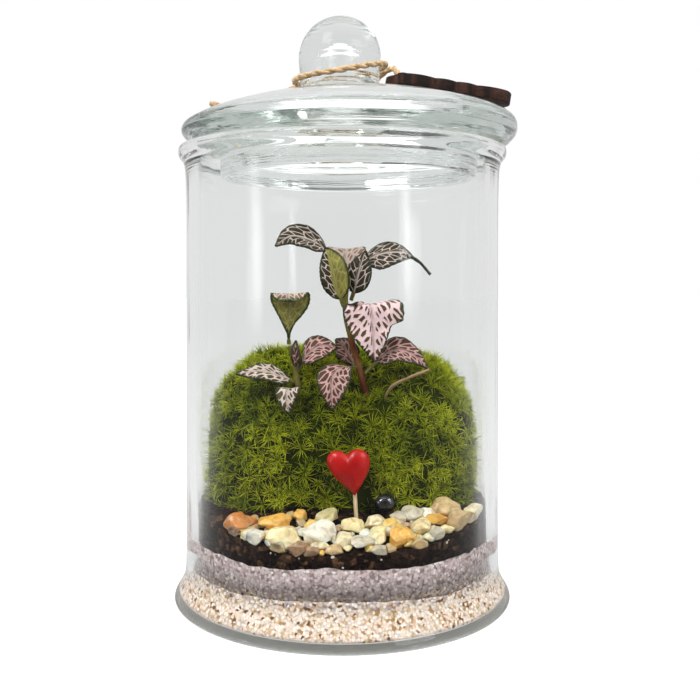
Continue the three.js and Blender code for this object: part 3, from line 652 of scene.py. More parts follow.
def domeReach(way, share):
    cushion = cushionSettings
    low, high = 0.0, 90.0
    for _ in range(22):
        t = (low + high) / 2
        inside = (abs(t * way.x / (cushion["across"] * share)) ** cushion["squareX"]
                  + abs(t * way.y / (cushion["deep"] * share)) ** cushion["squareY"]
                  + abs(t * way.z / (cushion["high"] * share)) ** cushion["squareZ"]) < 1
        low, high = (t, high) if inside else (low, t)
    return low


def domePoint(way, share, grow=0.0):
    return way * (domeReach(way, share) + grow) + Vector((0, cushionSettings["y"], cushionSettings["base"]))


def corePoint(way):
    cushion = cushionSettings
    surface = domePoint(way, 1, -cushion["needle"] * 0.8)
    lump = 0.9 * math.sin(surface.x / 6) * math.sin(surface.z / 7 + surface.y / 8)
    dent = 0.0
    for x, y, z, reach, depth in cushion["hollows"]:
        dent += depth * math.exp(-(((surface - Vector((x, y, z))).length / reach) ** 2))
    point = domePoint(way, 1, -cushion["needle"] * 0.8 + lump - dent)
    return heldIn(point, cushion["core"])


def roundStart(name, level):
    bpy.ops.object.select_all(action="DESELECT")
    bpy.ops.mesh.primitive_ico_sphere_add(subdivisions=level, radius=1)
    piece = bpy.context.object
    piece.name = name
    return piece


def soilFinish():
    finish, tree, shader = newFinish("darkSoil", 0.95, Specular_IOR_Level=0.02)
    place = objectPlace(tree)
    crumbs = addNode(tree, "TexVoronoi", Vector=place, Scale=520.0, Randomness=1.0)
    fine = addNoise(tree, place, 900.0, 5.0)
    tone = addNode(tree, "SeparateColor", Color=crumbs.outputs["Color"]).outputs["Red"]
    colour = addRamp(tree, tone, [(0.0, (0.006, 0.003, 0.002)), (0.55, (0.018, 0.009, 0.006)),
                                  (0.82, (0.04, 0.02, 0.012)), (0.96, (0.1, 0.055, 0.03))])
    light = addRamp(tree, fine, [(0.35, (0.5, 0.5, 0.5)), (0.7, (1.6, 1.5, 1.4))])
    paint(tree, shader, addMix(tree, 1.0, colour, light, "MULTIPLY"))
    addBump(tree, shader, addMath(tree, "SUBTRACT", fine, crumbs.outputs["Distance"]), 0.9, 1.2 * mm)
    return finish


def makeSoil():
    bed = fillingPiece("soilBed", greyRough, soilRough, [], sandSettings["soilRadius"], sandSettings)
    mound = roundStart("soilMound", 5)
    for vertex in mound.data.vertices:
        vertex.co = domePoint(vertex.co.normalized(), cushionSettings["mound"]) * mm
    for vertex in mound.data.vertices:
        x, y, z = vertex.co / mm
        vertex.co.z = max(z, soilTop(x, y) - 1) * mm
    smoothFaces(mound)
    soil = joinPieces("soilFill", [bed, mound])
    finishPiece(soil, ["soil"], "dark_soil", soilFinish())


# White crumbs of perlite, and a few reddish bark bits, on the soil's edge: x, y, height, size, tone
crumbSettings = {
    "reach": 55.94, "tones": {"white": (0.8, 0.76, 0.68), "bark": (0.16, 0.05, 0.025)},
    "places": [
        (-3.1, -55.2, 30.2, 1.1, "white"), (-23.2, -50.2, 30.3, 1.0, "white"),
        (-21.6, -50.9, 30.0, 0.8, "white"), (34.6, -43.4, 31.8, 0.9, "white"),
        (35.2, -42.8, 32.5, 0.7, "white"), (0.2, -55.5, 26.9, 0.8, "white"), (3.4, -55.5, 28.2, 0.9, "bark"),
        (-9.5, -54.8, 29.8, 0.8, "bark"), (22.5, -50.8, 29.4, 0.7, "bark"), (12.6, -54.2, 29.2, 0.6, "white"),
        (-33.5, -44.4, 31.6, 0.7, "bark"), (-14, -53.8, 29.5, 0.5, "white"),
    ],
}


def makeCrumbs(settings):
    crumbs = []
    for x, y, z, size, tone in settings["places"]:
        crumb = roundStart("crumb", 3)
        middle = Vector((x, y, z))
        for vertex in crumb.data.vertices:
            lump = 1 + 0.35 * noise.noise(vertex.co * 1.8 + middle)
            vertex.co = heldIn(vertex.co * (size / 2 * lump) + middle, settings["reach"]) * mm
        smoothFaces(crumb)
        storeTint(crumb, "crumbTint", settings["tones"][tone])
        crumbs.append(crumb)
    finish, tree, shader = newFinish("paleCrumbs", 0.9, Specular_IOR_Level=0.1)
    tint = addNode(tree, "Attribute", {"attribute_name": "crumbTint"}).outputs["Color"]
    pores = addNoise(tree, objectPlace(tree), 4000.0, 3.0)
    shade = addRamp(tree, pores, [(0.35, (0.6, 0.58, 0.54)), (0.6, (1, 1, 1))])
    paint(tree, shader, addMix(tree, 1.0, tint, shade, "MULTIPLY"))
    addBump(tree, shader, pores, 0.6, 0.2 * mm)
    finishPiece(joinPieces("soilCrumbs", crumbs), ["soil"], "dark_soil", finish)


makeSoil()
makeCrumbs(crumbSettings)
print("soil laid")


# Plant: routes and ribs as on the solids
stemSettings = [
    {"name": "stemTall", "node": "stem_tall", "slot": "brown_stem", "radius": 1.35, "colour": "brown",
     "tipColour": "young", "tipFrom": (96, 108), "route": [
        (9.5, 2, 54), (9.5, -4, 63), (9.2, -11.5, 74), (7.2, -14, 84.6), (5.3, -13, 91.5),
        (3, -12, 100.5), (1.5, -12, 107), (1.1, -12, 113.4), (1.5, -11.6, 117.6)]},
    {"name": "stemShort", "node": "stem_short", "slot": "green_stem", "radius": 1.2, "colour": "olive",
     "tipColour": "young", "tipFrom": (84, 94), "route": [
        (-15, 3, 55), (-15.2, -5, 66), (-15.8, -12.5, 76), (-16.4, -15, 82), (-17.4, -14.4, 88),
        (-18.9, -14, 93.4), (-20, -14, 96.6)]},
    {"name": "twigDry", "node": "twig", "slot": "dead_twig", "radius": 0.7, "colour": "dry",
     "tipColour": "dry", "tipFrom": (80, 90), "route": [
        (12, -2, 57), (14, -11, 71), (18.4, -19, 82), (24.8, -22.6, 86), (31, -24.8, 89)]},
]
stemColours = {
    "brown": [(0.3, (0.06, 0.016, 0.006)), (0.5, (0.14, 0.04, 0.014)), (0.7, (0.2, 0.1, 0.035))],
    "olive": [(0.3, (0.1, 0.08, 0.02)), (0.5, (0.2, 0.17, 0.045)), (0.7, (0.26, 0.16, 0.07))],
    "young": [(0.3, (0.09, 0.09, 0.015)), (0.5, (0.17, 0.16, 0.03)), (0.7, (0.24, 0.2, 0.06))],
    "dry": [(0.25, (0.2, 0.12, 0.06)), (0.5, (0.36, 0.24, 0.13)), (0.75, (0.5, 0.38, 0.22))],
}


def stemFinish(name, stops, youngStops, young):
    finish, tree, shader = newFinish(name, 0.5, Specular_IOR_Level=0.08)
    long = addNoise(tree, objectPlace(tree, (1, 1, 0.25)), 900.0, 3.0)
    patch = addNoise(tree, objectPlace(tree), 110.0, 2.0)
    both = addMath(tree, "ADD", addMath(tree, "MULTIPLY", long, 0.35), addMath(tree, "MULTIPLY", patch, 0.65))
    upper = addRange(tree, objectAxis(tree, "Z"), young[0] * mm, young[1] * mm)
    paint(tree, shader, addMix(tree, upper, addRamp(tree, both, stops), addRamp(tree, both, youngStops)))
    addBump(tree, shader, long, 0.4, 0.3 * mm)
    return finish


def makeStem(settings):
    route = Route(settings["route"])
    joints = random.Random(len(settings["name"]))
    swellings = [joints.uniform(0.15, 0.95) for _ in range(4)]

    def radiusAt(share):
        swell = sum(math.exp(-(((share - at) / 0.02) ** 2)) for at in swellings)
        return settings["radius"] * (0.97 - 0.18 * share + 0.16 * swell)

    points, faces = tubeMesh(route, 90, 14, radiusAt)
    stem = meshPiece(settings["name"], points, faces)
    smoothFaces(stem)
    look = stemFinish(settings["name"] + "Skin", stemColours[settings["colour"]],
                      stemColours[settings["tipColour"]], settings["tipFrom"])
    finishPiece(stem, [settings["node"]], settings["slot"], look)


for stemSetting in stemSettings:
    makeStem(stemSetting)


# Leaves: front is the face turned to the camera, back the other one
leafLooks = {
    "Rim": {"vein": (0.62, 0.5, 0.42), "cell": (0.14, 0.09, 0.05), "margin": (0.03, 0.045, 0.012),
            "open": 0.13, "cells": 1.0},
    "Pink": {"vein": (0.58, 0.35, 0.33), "cell": (0.06, 0.026, 0.014), "margin": (0.025, 0.03, 0.01),
             "open": 0.11, "cells": 0.85},
    "Pale": {"vein": (0.64, 0.52, 0.45), "cell": (0.05, 0.035, 0.014), "margin": (0.025, 0.03, 0.01),
             "open": 0.15, "cells": 0.85},
    "Dark": {"vein": (0.6, 0.5, 0.44), "cell": (0.022, 0.016, 0.008), "margin": (0.014, 0.018, 0.006),
             "open": 0.045, "cells": 0.66},
    "Bright": {"vein": (0.9, 0.66, 0.68), "cell": (0.07, 0.045, 0.018), "margin": (0.025, 0.036, 0.01),
               "open": 0.19, "cells": 0.66},
    # Shaded pink: the pink look at about half brightness, painted shade for the leaf that lies behind the
    # tall stem
    "Dull": {"vein": (0.34, 0.19, 0.17), "cell": (0.045, 0.02, 0.012), "margin": (0.025, 0.028, 0.01),
             "open": 0.11, "cells": 0.8},
    "Beige": {"vein": (0.56, 0.43, 0.38), "cell": (0.16, 0.1, 0.07), "margin": (0.05, 0.05, 0.025),
              "open": 0.16, "cells": 0.7},
    "Olive": {"vein": (0.38, 0.34, 0.12), "cell": (0.19, 0.175, 0.036), "margin": (0.03, 0.042, 0.012),
              "open": 0.07, "cells": 0.8},
}
leafLooks["Half"] = {**leafLooks["Olive"], "split": 0.36}  # dark on one side of the split, olive on the other
leafForm = {"rows": 57, "columns": 21, "slant": 32, "netScale": (0.36, 0.82), "thickness": 0.6,
            "stalkColour": (0.16, 0.15, 0.04)}
leafSettings = [
    {"name": "leaf_tall_left", "half": 7, "stalk": 0.42, "left": (0.2, -0.75, -0.6), "right": (0, 0.7, 0.75),
     "front": "Dark", "back": "Olive", "rib": [
         (0.2, -9, 117.2), (-3, -7, 126), (-7, -8, 133.2), (-14, -10, 136.9), (-19.5, -12, 137.6),
         (-25.1, -14, 133.7)]},
    {"name": "leaf_tall_erect_left", "half": 6, "stalk": 0.12, "left": (-0.95, -0.2, 0.1),
     "right": (0.75, -0.4, 0.2), "front": "Half", "back": "Dark", "rib": [
         (0.4, -14.4, 111.4), (-1.2, -15.6, 117), (-2.8, -15.2, 124.3), (-4.6, -13, 130.3),
         (-6.1, -10.6, 133.4)]},
    {"name": "leaf_tall_back", "half": 7.6, "stalk": 0.2, "left": (-1, 0, 0.15), "right": (1, 0, 0.15),
     "front": "Beige", "back": "Olive", "rib": [
         (2.4, -9, 117.8), (2.1, -6, 124.5), (1.7, -2.6, 130.2), (1.6, 2, 133), (1.6, 7, 132.2),
         (1.6, 11, 128.6)]},
    {"name": "leaf_tall_erect_right", "half": 5, "stalk": 0.15, "left": (-0.8, 0.25, 0.2),
     "right": (0.85, -0.3, -0.1), "front": "Dark", "back": "Olive", "rib": [
         (3.4, -13.4, 113.6), (5.3, -14.1, 119.6), (6.8, -13.6, 126), (8.8, -12.6, 132.2)]},
    {"name": "leaf_tall_right", "half": 7.2, "stalk": 0.26, "left": (0, 0.8, 0.6),
     "right": (-0.1, -0.6, -0.8), "tail": 0.3, "front": "Dark", "back": "Olive", "rib": [
         (3.1, -10.6, 117), (6.6, -9.4, 123.5), (10.6, -10.4, 129.2), (19, -11.6, 131.6), (25.8, -12, 130.4),
         (33.2, -12, 123.2)]},
    {"name": "leaf_tall_front", "half": 11.2, "stalk": 0.22, "swell": 0.55, "notch": (0.42, 0.68),
     "left": (-1, -0.05, 0), "right": (1, -0.05, 0.06), "front": "Bright", "back": "Olive",
     "rib": [(2.7, -13.6, 109.8), (6.8, -15.2, 111.5), (10.4, -17.6, 112.4), (11.2, -20.6, 111.2),
             (11.5, -22, 102.6), (11.6, -22, 91.6)]},
    {"name": "leaf_short_spoon", "half": 7.4, "stalk": 0.08, "swell": 2, "blunt": True, "left": (-1, -0.1, 0),
     "right": (1, -0.15, 0.05), "front": "Olive", "back": "Rim", "rib": [
         (-20.1, -14.3, 97.3), (-20, -16.2, 104.5), (-19.3, -17.2, 111.4), (-19.2, -17.9, 114.8),
         (-19.3, -19.5, 116.2), (-19.4, -22.3, 113.6)]},
    {"name": "leaf_short_left", "half": 4.8, "stalk": 0.1, "left": (0.1, -0.75, -0.6),
     "right": (0, 0.8, 0.55), "front": "Pale", "back": "Olive", "rib": [
         (-17.9, -16.2, 83.5), (-22.6, -20, 86), (-29.4, -22, 88.1), (-38.5, -22.6, 87.1)]},
    {"name": "leaf_short_front", "half": 4.4, "stalk": 0.1, "left": (-1, 0, 0.1), "right": (1, 0, 0.1),
     "front": "Pale", "back": "Olive", "rib": [
         (-17, -16.5, 80.6), (-19.6, -24.4, 81.4), (-19.8, -27, 77.8), (-19, -27.4, 73.4)]},
    {"name": "leaf_short_right", "half": 6.2, "stalk": 0.16, "left": (0, 0.65, 0.75),
     "right": (0.1, -0.7, -0.7), "front": "Pink", "back": "Olive", "rib": [
         (-15.6, -16.4, 88.4), (-13.4, -18.6, 92.8), (-8.2, -18.6, 96.6), (-1.6, -17, 96.4)]},
    {"name": "leaf_short_narrow", "half": 2.6, "stalk": 0.1, "left": (-0.7, -0.7, 0), "right": (0.8, -0.6, 0),
     "node": "leaf_short_right", "front": "Pink", "back": "Olive", "rib": [
         (-15.7, -16.5, 88.2), (-16.8, -18, 91.6), (-17.4, -18.6, 95.6), (-17, -17.4, 99)]},
    # This leaf lies behind the tall stem, and its front is painted with shaded pink: painted shade
    {"name": "leaf_low_back", "half": 4.6, "stalk": 0.1, "left": (-0.75, 0.1, -0.6), "right": (0.8, 0, 0.5),
     "front": "Dull", "back": "Olive", "rib": [
         (4.8, -11.5, 88.8), (2.4, -9, 93.4), (0.2, -7.6, 96.8), (-2.2, -6, 98.6)]},
    {"name": "leaf_low_right", "half": 6.2, "stalk": 0.2, "left": (0, 0.65, 0.75), "right": (0, -0.75, -0.6),
     "front": "Pink", "back": "Olive", "rib": [
         (8.2, -15.4, 86.6), (14, -17, 92.4), (20.4, -18.6, 95.4), (26, -19.4, 93.4), (30.7, -20, 88.6)]},
    {"name": "leaf_low_front", "half": 6, "stalk": 0.18, "left": (-1, -0.1, 0), "right": (1, -0.1, 0.05),
     "front": "Pink", "back": "Olive", "rib": [
         (5, -15.2, 89), (0.4, -20.6, 89.2), (-2.8, -25, 86.4), (-3.4, -27.4, 81), (-3.2, -28, 74.9)]},
]


def bladeWidth(s, tail, swell, blunt):
    end = 1 - tail
    widest = 0.5 ** (1 / swell)
    if blunt and s > widest:
        return max(1 - ((s - widest) / (1 - widest)) ** 3, 0.01) ** 0.5
    body = math.sin(math.pi * (s / end) ** swell) ** 0.8 if s < end else 0
    return max(body, 0.1 if tail > 0 else 0.05)


def bladeRow(leaf, route, share, columns):
    centre, way = route.at(share), route.way(share)
    s = (share - leaf["stalk"]) / (1 - leaf["stalk"])
    fullness = 0
    if s > 0:
        fullness = bladeWidth(s, leaf.get("tail", 0), leaf.get("swell", 0.8), "blunt" in leaf)
    half = 0.75 if s <= 0 else max(leaf["half"] * fullness, 0.45)
    wave = 0 if s <= 0 else 0.06 * leaf["half"] * math.sin(11 * s)
    notchStart, notchShare = leaf.get("notch", (1, 1))
    cut = 1 + (notchShare - 1) * easeStep(s, notchStart, notchStart + 0.06)
    toothed = 1 + (0.022 * math.sin(97 * share) if s > 0.1 else 0)
    row = []
    for j in range(columns):
        u = 2 * j / (columns - 1) - 1
        out = Vector(leaf["left"] if u < 0 else leaf["right"]).normalized()
        out = (out - way * out.dot(way)).normalized()
        up = way.cross(out) * (-1 if u < 0 else 1)
        reach = half * (cut if u > 0 else 1)
        place = centre + out * (abs(u) * reach * toothed) + up * (wave * u * u)
        row.append((place, u, reach, s))
    return row


# Netted blade: dark cells lie between pale veins that fan from the rib, inside a dark edge
def netColour(tree, look, net, rib, inward, tone):
    opening = addMath(tree, "MULTIPLY", addRange(tree, inward, 0.1, 1.7), look["open"] + 0.04)
    beyond = addMath(tree, "SUBTRACT", net, addMath(tree, "SUBTRACT", opening, 0.04))
    cell = addRange(tree, beyond, 0.0, 0.06)
    pale = addRamp(tree, tone, [(0.3, tuple(c * 0.8 for c in look["vein"])), (0.7, look["vein"])])
    dark = addRamp(tree, tone, [(0.35, look["cell"]), (0.75, tuple(c * 1.7 for c in look["cell"]))])
    edge = addRange(tree, inward, 0.5, 1.3, 1.0, 0.0)
    body = addMix(tree, cell, pale, addMix(tree, edge, dark, look["margin"]))
    return addMix(tree, rib, body, pale)


def leafFinish(name, look):
    finish, tree, shader = newFinish(name, 0.45, Specular_IOR_Level=0.15, Subsurface_Weight=0.15,
                                     Subsurface_Scale=0.001)
    size = (look["cells"], look["cells"], 1)
    netMap = addNode(tree, "UVMap", {"uv_map": "net"}).outputs["UV"]
    flat = addNode(tree, "Mapping", Vector=netMap, Scale=size).outputs["Vector"]
    bend = addFlatNoise(tree, flat, 0.55, 2.0, "Color")
    moved = addNode(tree, "VectorMath", {"operation": "MULTIPLY_ADD"}, Vector=bend)
    moved.inputs[1].default_value = (0.5, 0.5, 0)
    tree.links.new(flat, moved.inputs[2])
    net = addNode(tree, "TexVoronoi", {"voronoi_dimensions": "2D", "feature": "DISTANCE_TO_EDGE"},
                  Vector=moved.outputs["Vector"], Scale=1.0, Randomness=0.8).outputs["Distance"]
    share = addNode(tree, "SeparateXYZ", Vector=addNode(tree, "UVMap", {"uv_map": "blade"}).outputs["UV"])
    across = addMath(tree, "ABSOLUTE", addMath(tree, "MULTIPLY_ADD", share.outputs["X"], 2.0, -1.0))
    inward = addNode(tree, "Attribute", {"attribute_name": "inward"}).outputs["Fac"]
    rib = addMath(tree, "MULTIPLY", addRange(tree, across, 0.02, 0.09, 1.0, 0.0),
                  addRange(tree, inward, 0.4, 1.2))
    tone = addFlatNoise(tree, flat, 0.45, 3.0)
    body = netColour(tree, look, net, rib, inward, tone)
    if "split" in look:
        other = netColour(tree, leafLooks["Dark"], net, rib, inward, tone)
        beyond = addRange(tree, share.outputs["X"], look["split"], look["split"] + 0.02)
        body = addMix(tree, beyond, other, body)
    stalk = addRange(tree, share.outputs["Y"], 0.005, 0.04, 1.0, 0.0)
    paint(tree, shader, addMix(tree, stalk, body, leafForm["stalkColour"]))
    sunk = addMath(tree, "MULTIPLY", rib, -1.2)
    quilt = addMath(tree, "ADD", addRange(tree, net, 0.0, 0.4), sunk)
    addBump(tree, shader, quilt, 0.55, 0.35 * mm)
    return finish


leafFinishes = {name: leafFinish("leaf" + name, look) for name, look in leafLooks.items()}


def makeLeaf(leaf):
    rows, columns = leafForm["rows"], leafForm["columns"]
    route = Route(leaf["rib"])
    bpy.ops.object.select_all(action="DESELECT")
    bpy.ops.mesh.primitive_grid_add(x_subdivisions=columns - 1, y_subdivisions=rows - 1, size=2,
                                    calc_uvs=False)
    blade = bpy.context.object
    blade.name = camelName(leaf["name"])
    grid = [bladeRow(leaf, route, i / (rows - 1), columns) for i in range(rows)]
    slant = math.radians(leafForm["slant"])
    length = route.length * (1 - leaf["stalk"])
    netPlaces, sharePlaces, inward = [], [], []
    for vertex in blade.data.vertices:
        i = round((vertex.co.y + 1) / 2 * (rows - 1))
        j = round((vertex.co.x + 1) / 2 * (columns - 1))
        point, u, half, s = grid[i][j]
        vertex.co = point * mm
        along, aside = route.length * i / (rows - 1), abs(u) * half
        netPlaces.append((aside * math.sin(slant) + along * math.cos(slant),
                          aside * math.cos(slant) - along * math.sin(slant) + (40 if u < 0 else 0)))
        sharePlaces.append((u / 2 + 0.5, max(s, 0)))
        inward.append(min(half * (1 - abs(u)), length * (1 - s) * 0.6 + 0.15))
    for name, places, scale in (("net", netPlaces, leafForm["netScale"]), ("blade", sharePlaces, (1, 1))):
        layer = blade.data.uv_layers.new(name=name)
        for loop in blade.data.loops:
            place = places[loop.vertex_index]
            layer.data[loop.index].uv = (place[0] * scale[0], place[1] * scale[1])
    storeValues(blade, "inward", inward)
    blade.data.update()
    facing = sum(polygon.normal.y * polygon.area for polygon in blade.data.polygons)
    shell = [leafFinishes[leaf["front"]], leafFinishes[leaf["back"]]]
    thicken = blade.modifiers.new("thicken", "SOLIDIFY")
    thicken.thickness = leafForm["thickness"] * mm
    thicken.offset = 0
    thicken.material_offset = 1
    soften = blade.modifiers.new("soften", "SUBSURF")
    soften.levels = soften.render_levels = 1
    for look in shell if facing < 0 else reversed(shell):
        blade.data.materials.append(look)
    applyAll(blade)
    smoothFaces(blade)
    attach(blade, "root")
    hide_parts(leaf.get("node", leaf["name"]))


for leafSetting in leafSettings:
    makeLeaf(leafSetting)
print("plant grown")


# Heart: a round body whose rings follow a heart outline
heartSettings = {"x": 2.8, "y": -33.5, "z": 53.4, "width": 15, "height": 16.7, "depth": 6.8, "lean": 0.087,
                 "shear": 0.089, "power": 2.25, "waves": (-0.317, -0.079, -0.038), "foot": -0.2365,
                 "span": 2.079, "eases": 14}
stickSettings = {"radius": 0.7, "route": [(4.15, -33.5, 46.2), (4.6, -33.5, 37), (4.9, -33.5, 28)]}


def enamelFinish():
    finish, tree, shader = newFinish("redEnamel", 0.32, Specular_IOR_Level=0.22, Coat_Weight=0.15,
                                     Coat_Roughness=0.2)
    spots = addNoise(tree, objectPlace(tree), 160.0, 4.0)
    paint(tree, shader, addRamp(tree, spots, [(0.3, (0.3, 0.001, 0.001)), (0.55, (0.43, 0.002, 0.001)),
                                              (0.8, (0.53, 0.006, 0.004))]))
    addBump(tree, shader, spots, 0.12, 0.6 * mm)
    return finish


def makeHeart(settings):
    bpy.ops.object.select_all(action="DESELECT")
    bpy.ops.mesh.primitive_uv_sphere_add(segments=64, ring_count=40, radius=1, rotation=(math.pi / 2, 0, 0))
    bpy.ops.object.transform_apply(rotation=True)
    heart = bpy.context.object
    heart.name = "heartRed"
    lean = Matrix.Rotation(-settings["lean"], 3, "Y")
    middle = Vector((settings["x"], settings["y"], settings["z"]))
    for vertex in heart.data.vertices:
        x, y, z = vertex.co
        t, ring = math.atan2(x, z), math.hypot(x, z)
        across = math.copysign(abs(math.sin(t)) ** settings["power"] / 2, t) * ring * settings["width"]
        rise = math.cos(t) + sum(wave * math.cos(k * t) for k, wave in enumerate(settings["waves"], 2))
        up = (rise - settings["foot"]) / settings["span"] * ring * settings["height"]
        full = abs(y) ** 0.9 * math.copysign(1, y) if y else 0
        point = Vector((across - settings["shear"] * up, full * settings["depth"] / 2, up))
        vertex.co = (lean @ point + middle) * mm
    ease = heart.modifiers.new("ease", "SMOOTH")
    ease.factor = 0.5
    ease.iterations = settings["eases"]
    applyAll(heart)
    smoothFaces(heart)
    finishPiece(heart, ["heart"], "red_enamel", enamelFinish())


def paleWoodFinish():
    finish, tree, shader = newFinish("paleWood", 0.7)
    grain = addNoise(tree, objectPlace(tree, (1, 1, 0.08)), 2400.0, 3.0)
    paint(tree, shader, addRamp(tree, grain, [(0.3, (0.5, 0.34, 0.18)), (0.6, (0.76, 0.6, 0.4))]))
    addBump(tree, shader, grain, 0.3, 0.2 * mm)
    return finish


def makeStick(settings):
    points, faces = tubeMesh(Route(settings["route"]), 24, 16, lambda share: settings["radius"])
    stick = meshPiece("heartStick", points, faces)
    smoothFaces(stick)
    finishPiece(stick, ["heart_stick"], "pale_wood", paleWoodFinish())


makeHeart(heartSettings)
makeStick(stickSettings)


# Gem: a black glass nugget, flatter below
gemSettings = {"x": 15.2, "y": -29.6, "z": 41.9, "width": 7.8, "height": 6.4}


def makeGem(settings):
    gem = roundStart("gemBlack", 4)
    half = settings["width"] / 2
    for vertex in gem.data.vertices:
        x, y, z = vertex.co
        dent = 1 + 0.05 * noise.noise(vertex.co * 1.4)
        place = Vector((x * half, y * settings["width"] / 2.4, z * settings["height"] / 2)) * dent
        vertex.co = (place + Vector((settings["x"], settings["y"], settings["z"]))) * mm
    smoothFaces(gem)
    finish, tree, shader = newFinish("blackGem", 0.06, Coat_Weight=0.5)
    veil = addNoise(tree, objectPlace(tree), 180.0, 3.0)
    paint(tree, shader, addRamp(tree, veil, [(0.4, (0.006, 0.006, 0.008)), (0.8, (0.03, 0.03, 0.036))]))
    finishPiece(gem, ["gem"], "black_gem", finish)


makeGem(gemSettings)
print("heart, stick and gem made")


# Pebbles: x, y, length, turn and colour of each stone, laid on the soil as the solids are
stoneColours = {
    "orange": (0.6, 0.24, 0.06), "amber": (0.8, 0.45, 0.09), "gold": (0.86, 0.58, 0.16),
    "straw": (0.88, 0.72, 0.4), "cream": (0.86, 0.74, 0.5), "white": (0.9, 0.84, 0.72),
    "grey": (0.6, 0.54, 0.42), "tan": (0.6, 0.43, 0.22), "olive": (0.66, 0.58, 0.3),
    "pink": (0.55, 0.36, 0.25), "brown": (0.34, 0.2, 0.11),
}
pebbleSettings = {
    "pebbles_left": [
        (-36, -38, 10, 15, "orange"), (-28.5, -46, 7.4, 60, "white"), (-22.5, -39, 11, -8, "amber"),
        (-19, -46.5, 12, 12, "straw"), (-15, -33.5, 6.4, 70, "amber"), (-37, -43, 6.4, 30, "brown"),
        (-31.6, -44, 6.2, -20, "cream"), (-10.5, -38.5, 6.8, 20, "gold"), (-26, -36, 6, 40, "gold"),
        (-20.5, -50.6, 6.4, 35, "tan"), (-32, -36.4, 6, -30, "orange"), (-14.8, -51.6, 7.2, 5, "brown"),
        (-25, -42.6, 4.6, 10, "cream"), (-30, -40.6, 5, 50, "tan"), (-13, -43, 5, 30, "white"),
        (-23.6, -47.4, 4.4, 70, "white"), (-17.2, -42.4, 4.6, -30, "gold"), (-34, -41.4, 4.2, 60, "amber"),
    ],
    "pebbles_middle": [
        (-7.8, -45, 11.4, 8, "white"), (-4.6, -35, 9, 35, "olive"), (1, -47.6, 7.6, 80, "cream"),
        (6.4, -50, 8.4, 20, "grey"), (3.4, -40, 8.6, -25, "straw"), (11.4, -46, 9.2, 65, "straw"),
        (10.8, -36, 8, 25, "cream"), (18.5, -47, 9.4, 85, "amber"), (17, -38.4, 7.6, -15, "gold"),
        (-2.6, -52.6, 6, 0, "tan"), (12.2, -53, 6, 15, "grey"), (-10.4, -52.6, 6, -10, "brown"),
        (-3, -41, 5, 20, "pink"), (7.4, -44, 5, 70, "white"), (-9, -40.4, 4.6, 50, "gold"),
        (14.6, -42, 5, 10, "white"), (-6.6, -49.6, 4.6, 20, "cream"), (16, -51.6, 4.4, 40, "tan"),
        (1.6, -44.6, 4.4, -10, "olive"),
    ],
    "pebbles_right": [
        (26, -40.4, 9.6, 50, "straw"), (32.4, -37, 7.2, -20, "amber"), (36.4, -30.4, 10.6, -12, "tan"),
        (39.4, -36.6, 9.8, 40, "tan"), (31.4, -44, 7, 75, "grey"), (24.6, -32.6, 8.4, 10, "grey"),
        (45, -29.6, 7.2, 60, "cream"), (25.4, -48.6, 6.4, -5, "tan"), (44.6, -34.4, 6, 20, "tan"),
        (30, -31.6, 6.6, 35, "white"), (20, -33.6, 6, -30, "grey"), (23, -44.6, 4.8, 20, "gold"),
        (29, -45, 4.6, -40, "cream"), (35, -40.4, 5, 15, "straw"), (28, -36.4, 5, 60, "cream"),
        (41, -32.4, 4.6, 30, "gold"), (21.6, -38, 4.6, 0, "pink"),
    ],
}


def quartzFinish():
    finish, tree, shader = newFinish("quartzPebble", 0.38, Subsurface_Weight=0.7, Subsurface_Scale=2.2 * mm,
                                     Subsurface_Radius=(1.0, 0.8, 0.55), Transmission_Weight=0.12, IOR=1.5,
                                     Coat_Weight=0.12, Coat_Roughness=0.3)
    place = objectPlace(tree)
    tint = addNode(tree, "Attribute", {"attribute_name": "stoneTint"}).outputs["Color"]
    cloud = addNoise(tree, place, 320.0, 5.0, Distortion=1.2)
    speck = addNoise(tree, place, 1500.0, 2.0)
    veil = addRamp(tree, cloud, [(0.3, (0.62, 0.58, 0.52)), (0.5, (1, 1, 1)), (0.72, (1.25, 1.2, 1.1))])
    body = addMix(tree, 1.0, tint, veil, "MULTIPLY")
    white = addRange(tree, cloud, 0.58, 0.7, 0.0, 0.5)
    paint(tree, shader, addMix(tree, white, body, (0.86, 0.8, 0.68)))
    addBump(tree, shader, addMath(tree, "ADD", speck, cloud), 0.25, 0.3 * mm)
    return finish


stoneForm = {"cuts": 13, "cutReach": (0.5, 0.82), "cutDepth": 0.97, "lump": 0.14, "sides": (0.52, 0.42, 0.29),
             "fineFrom": 6.5, "sink": 0.12, "tone": (0.9, 1.08)}


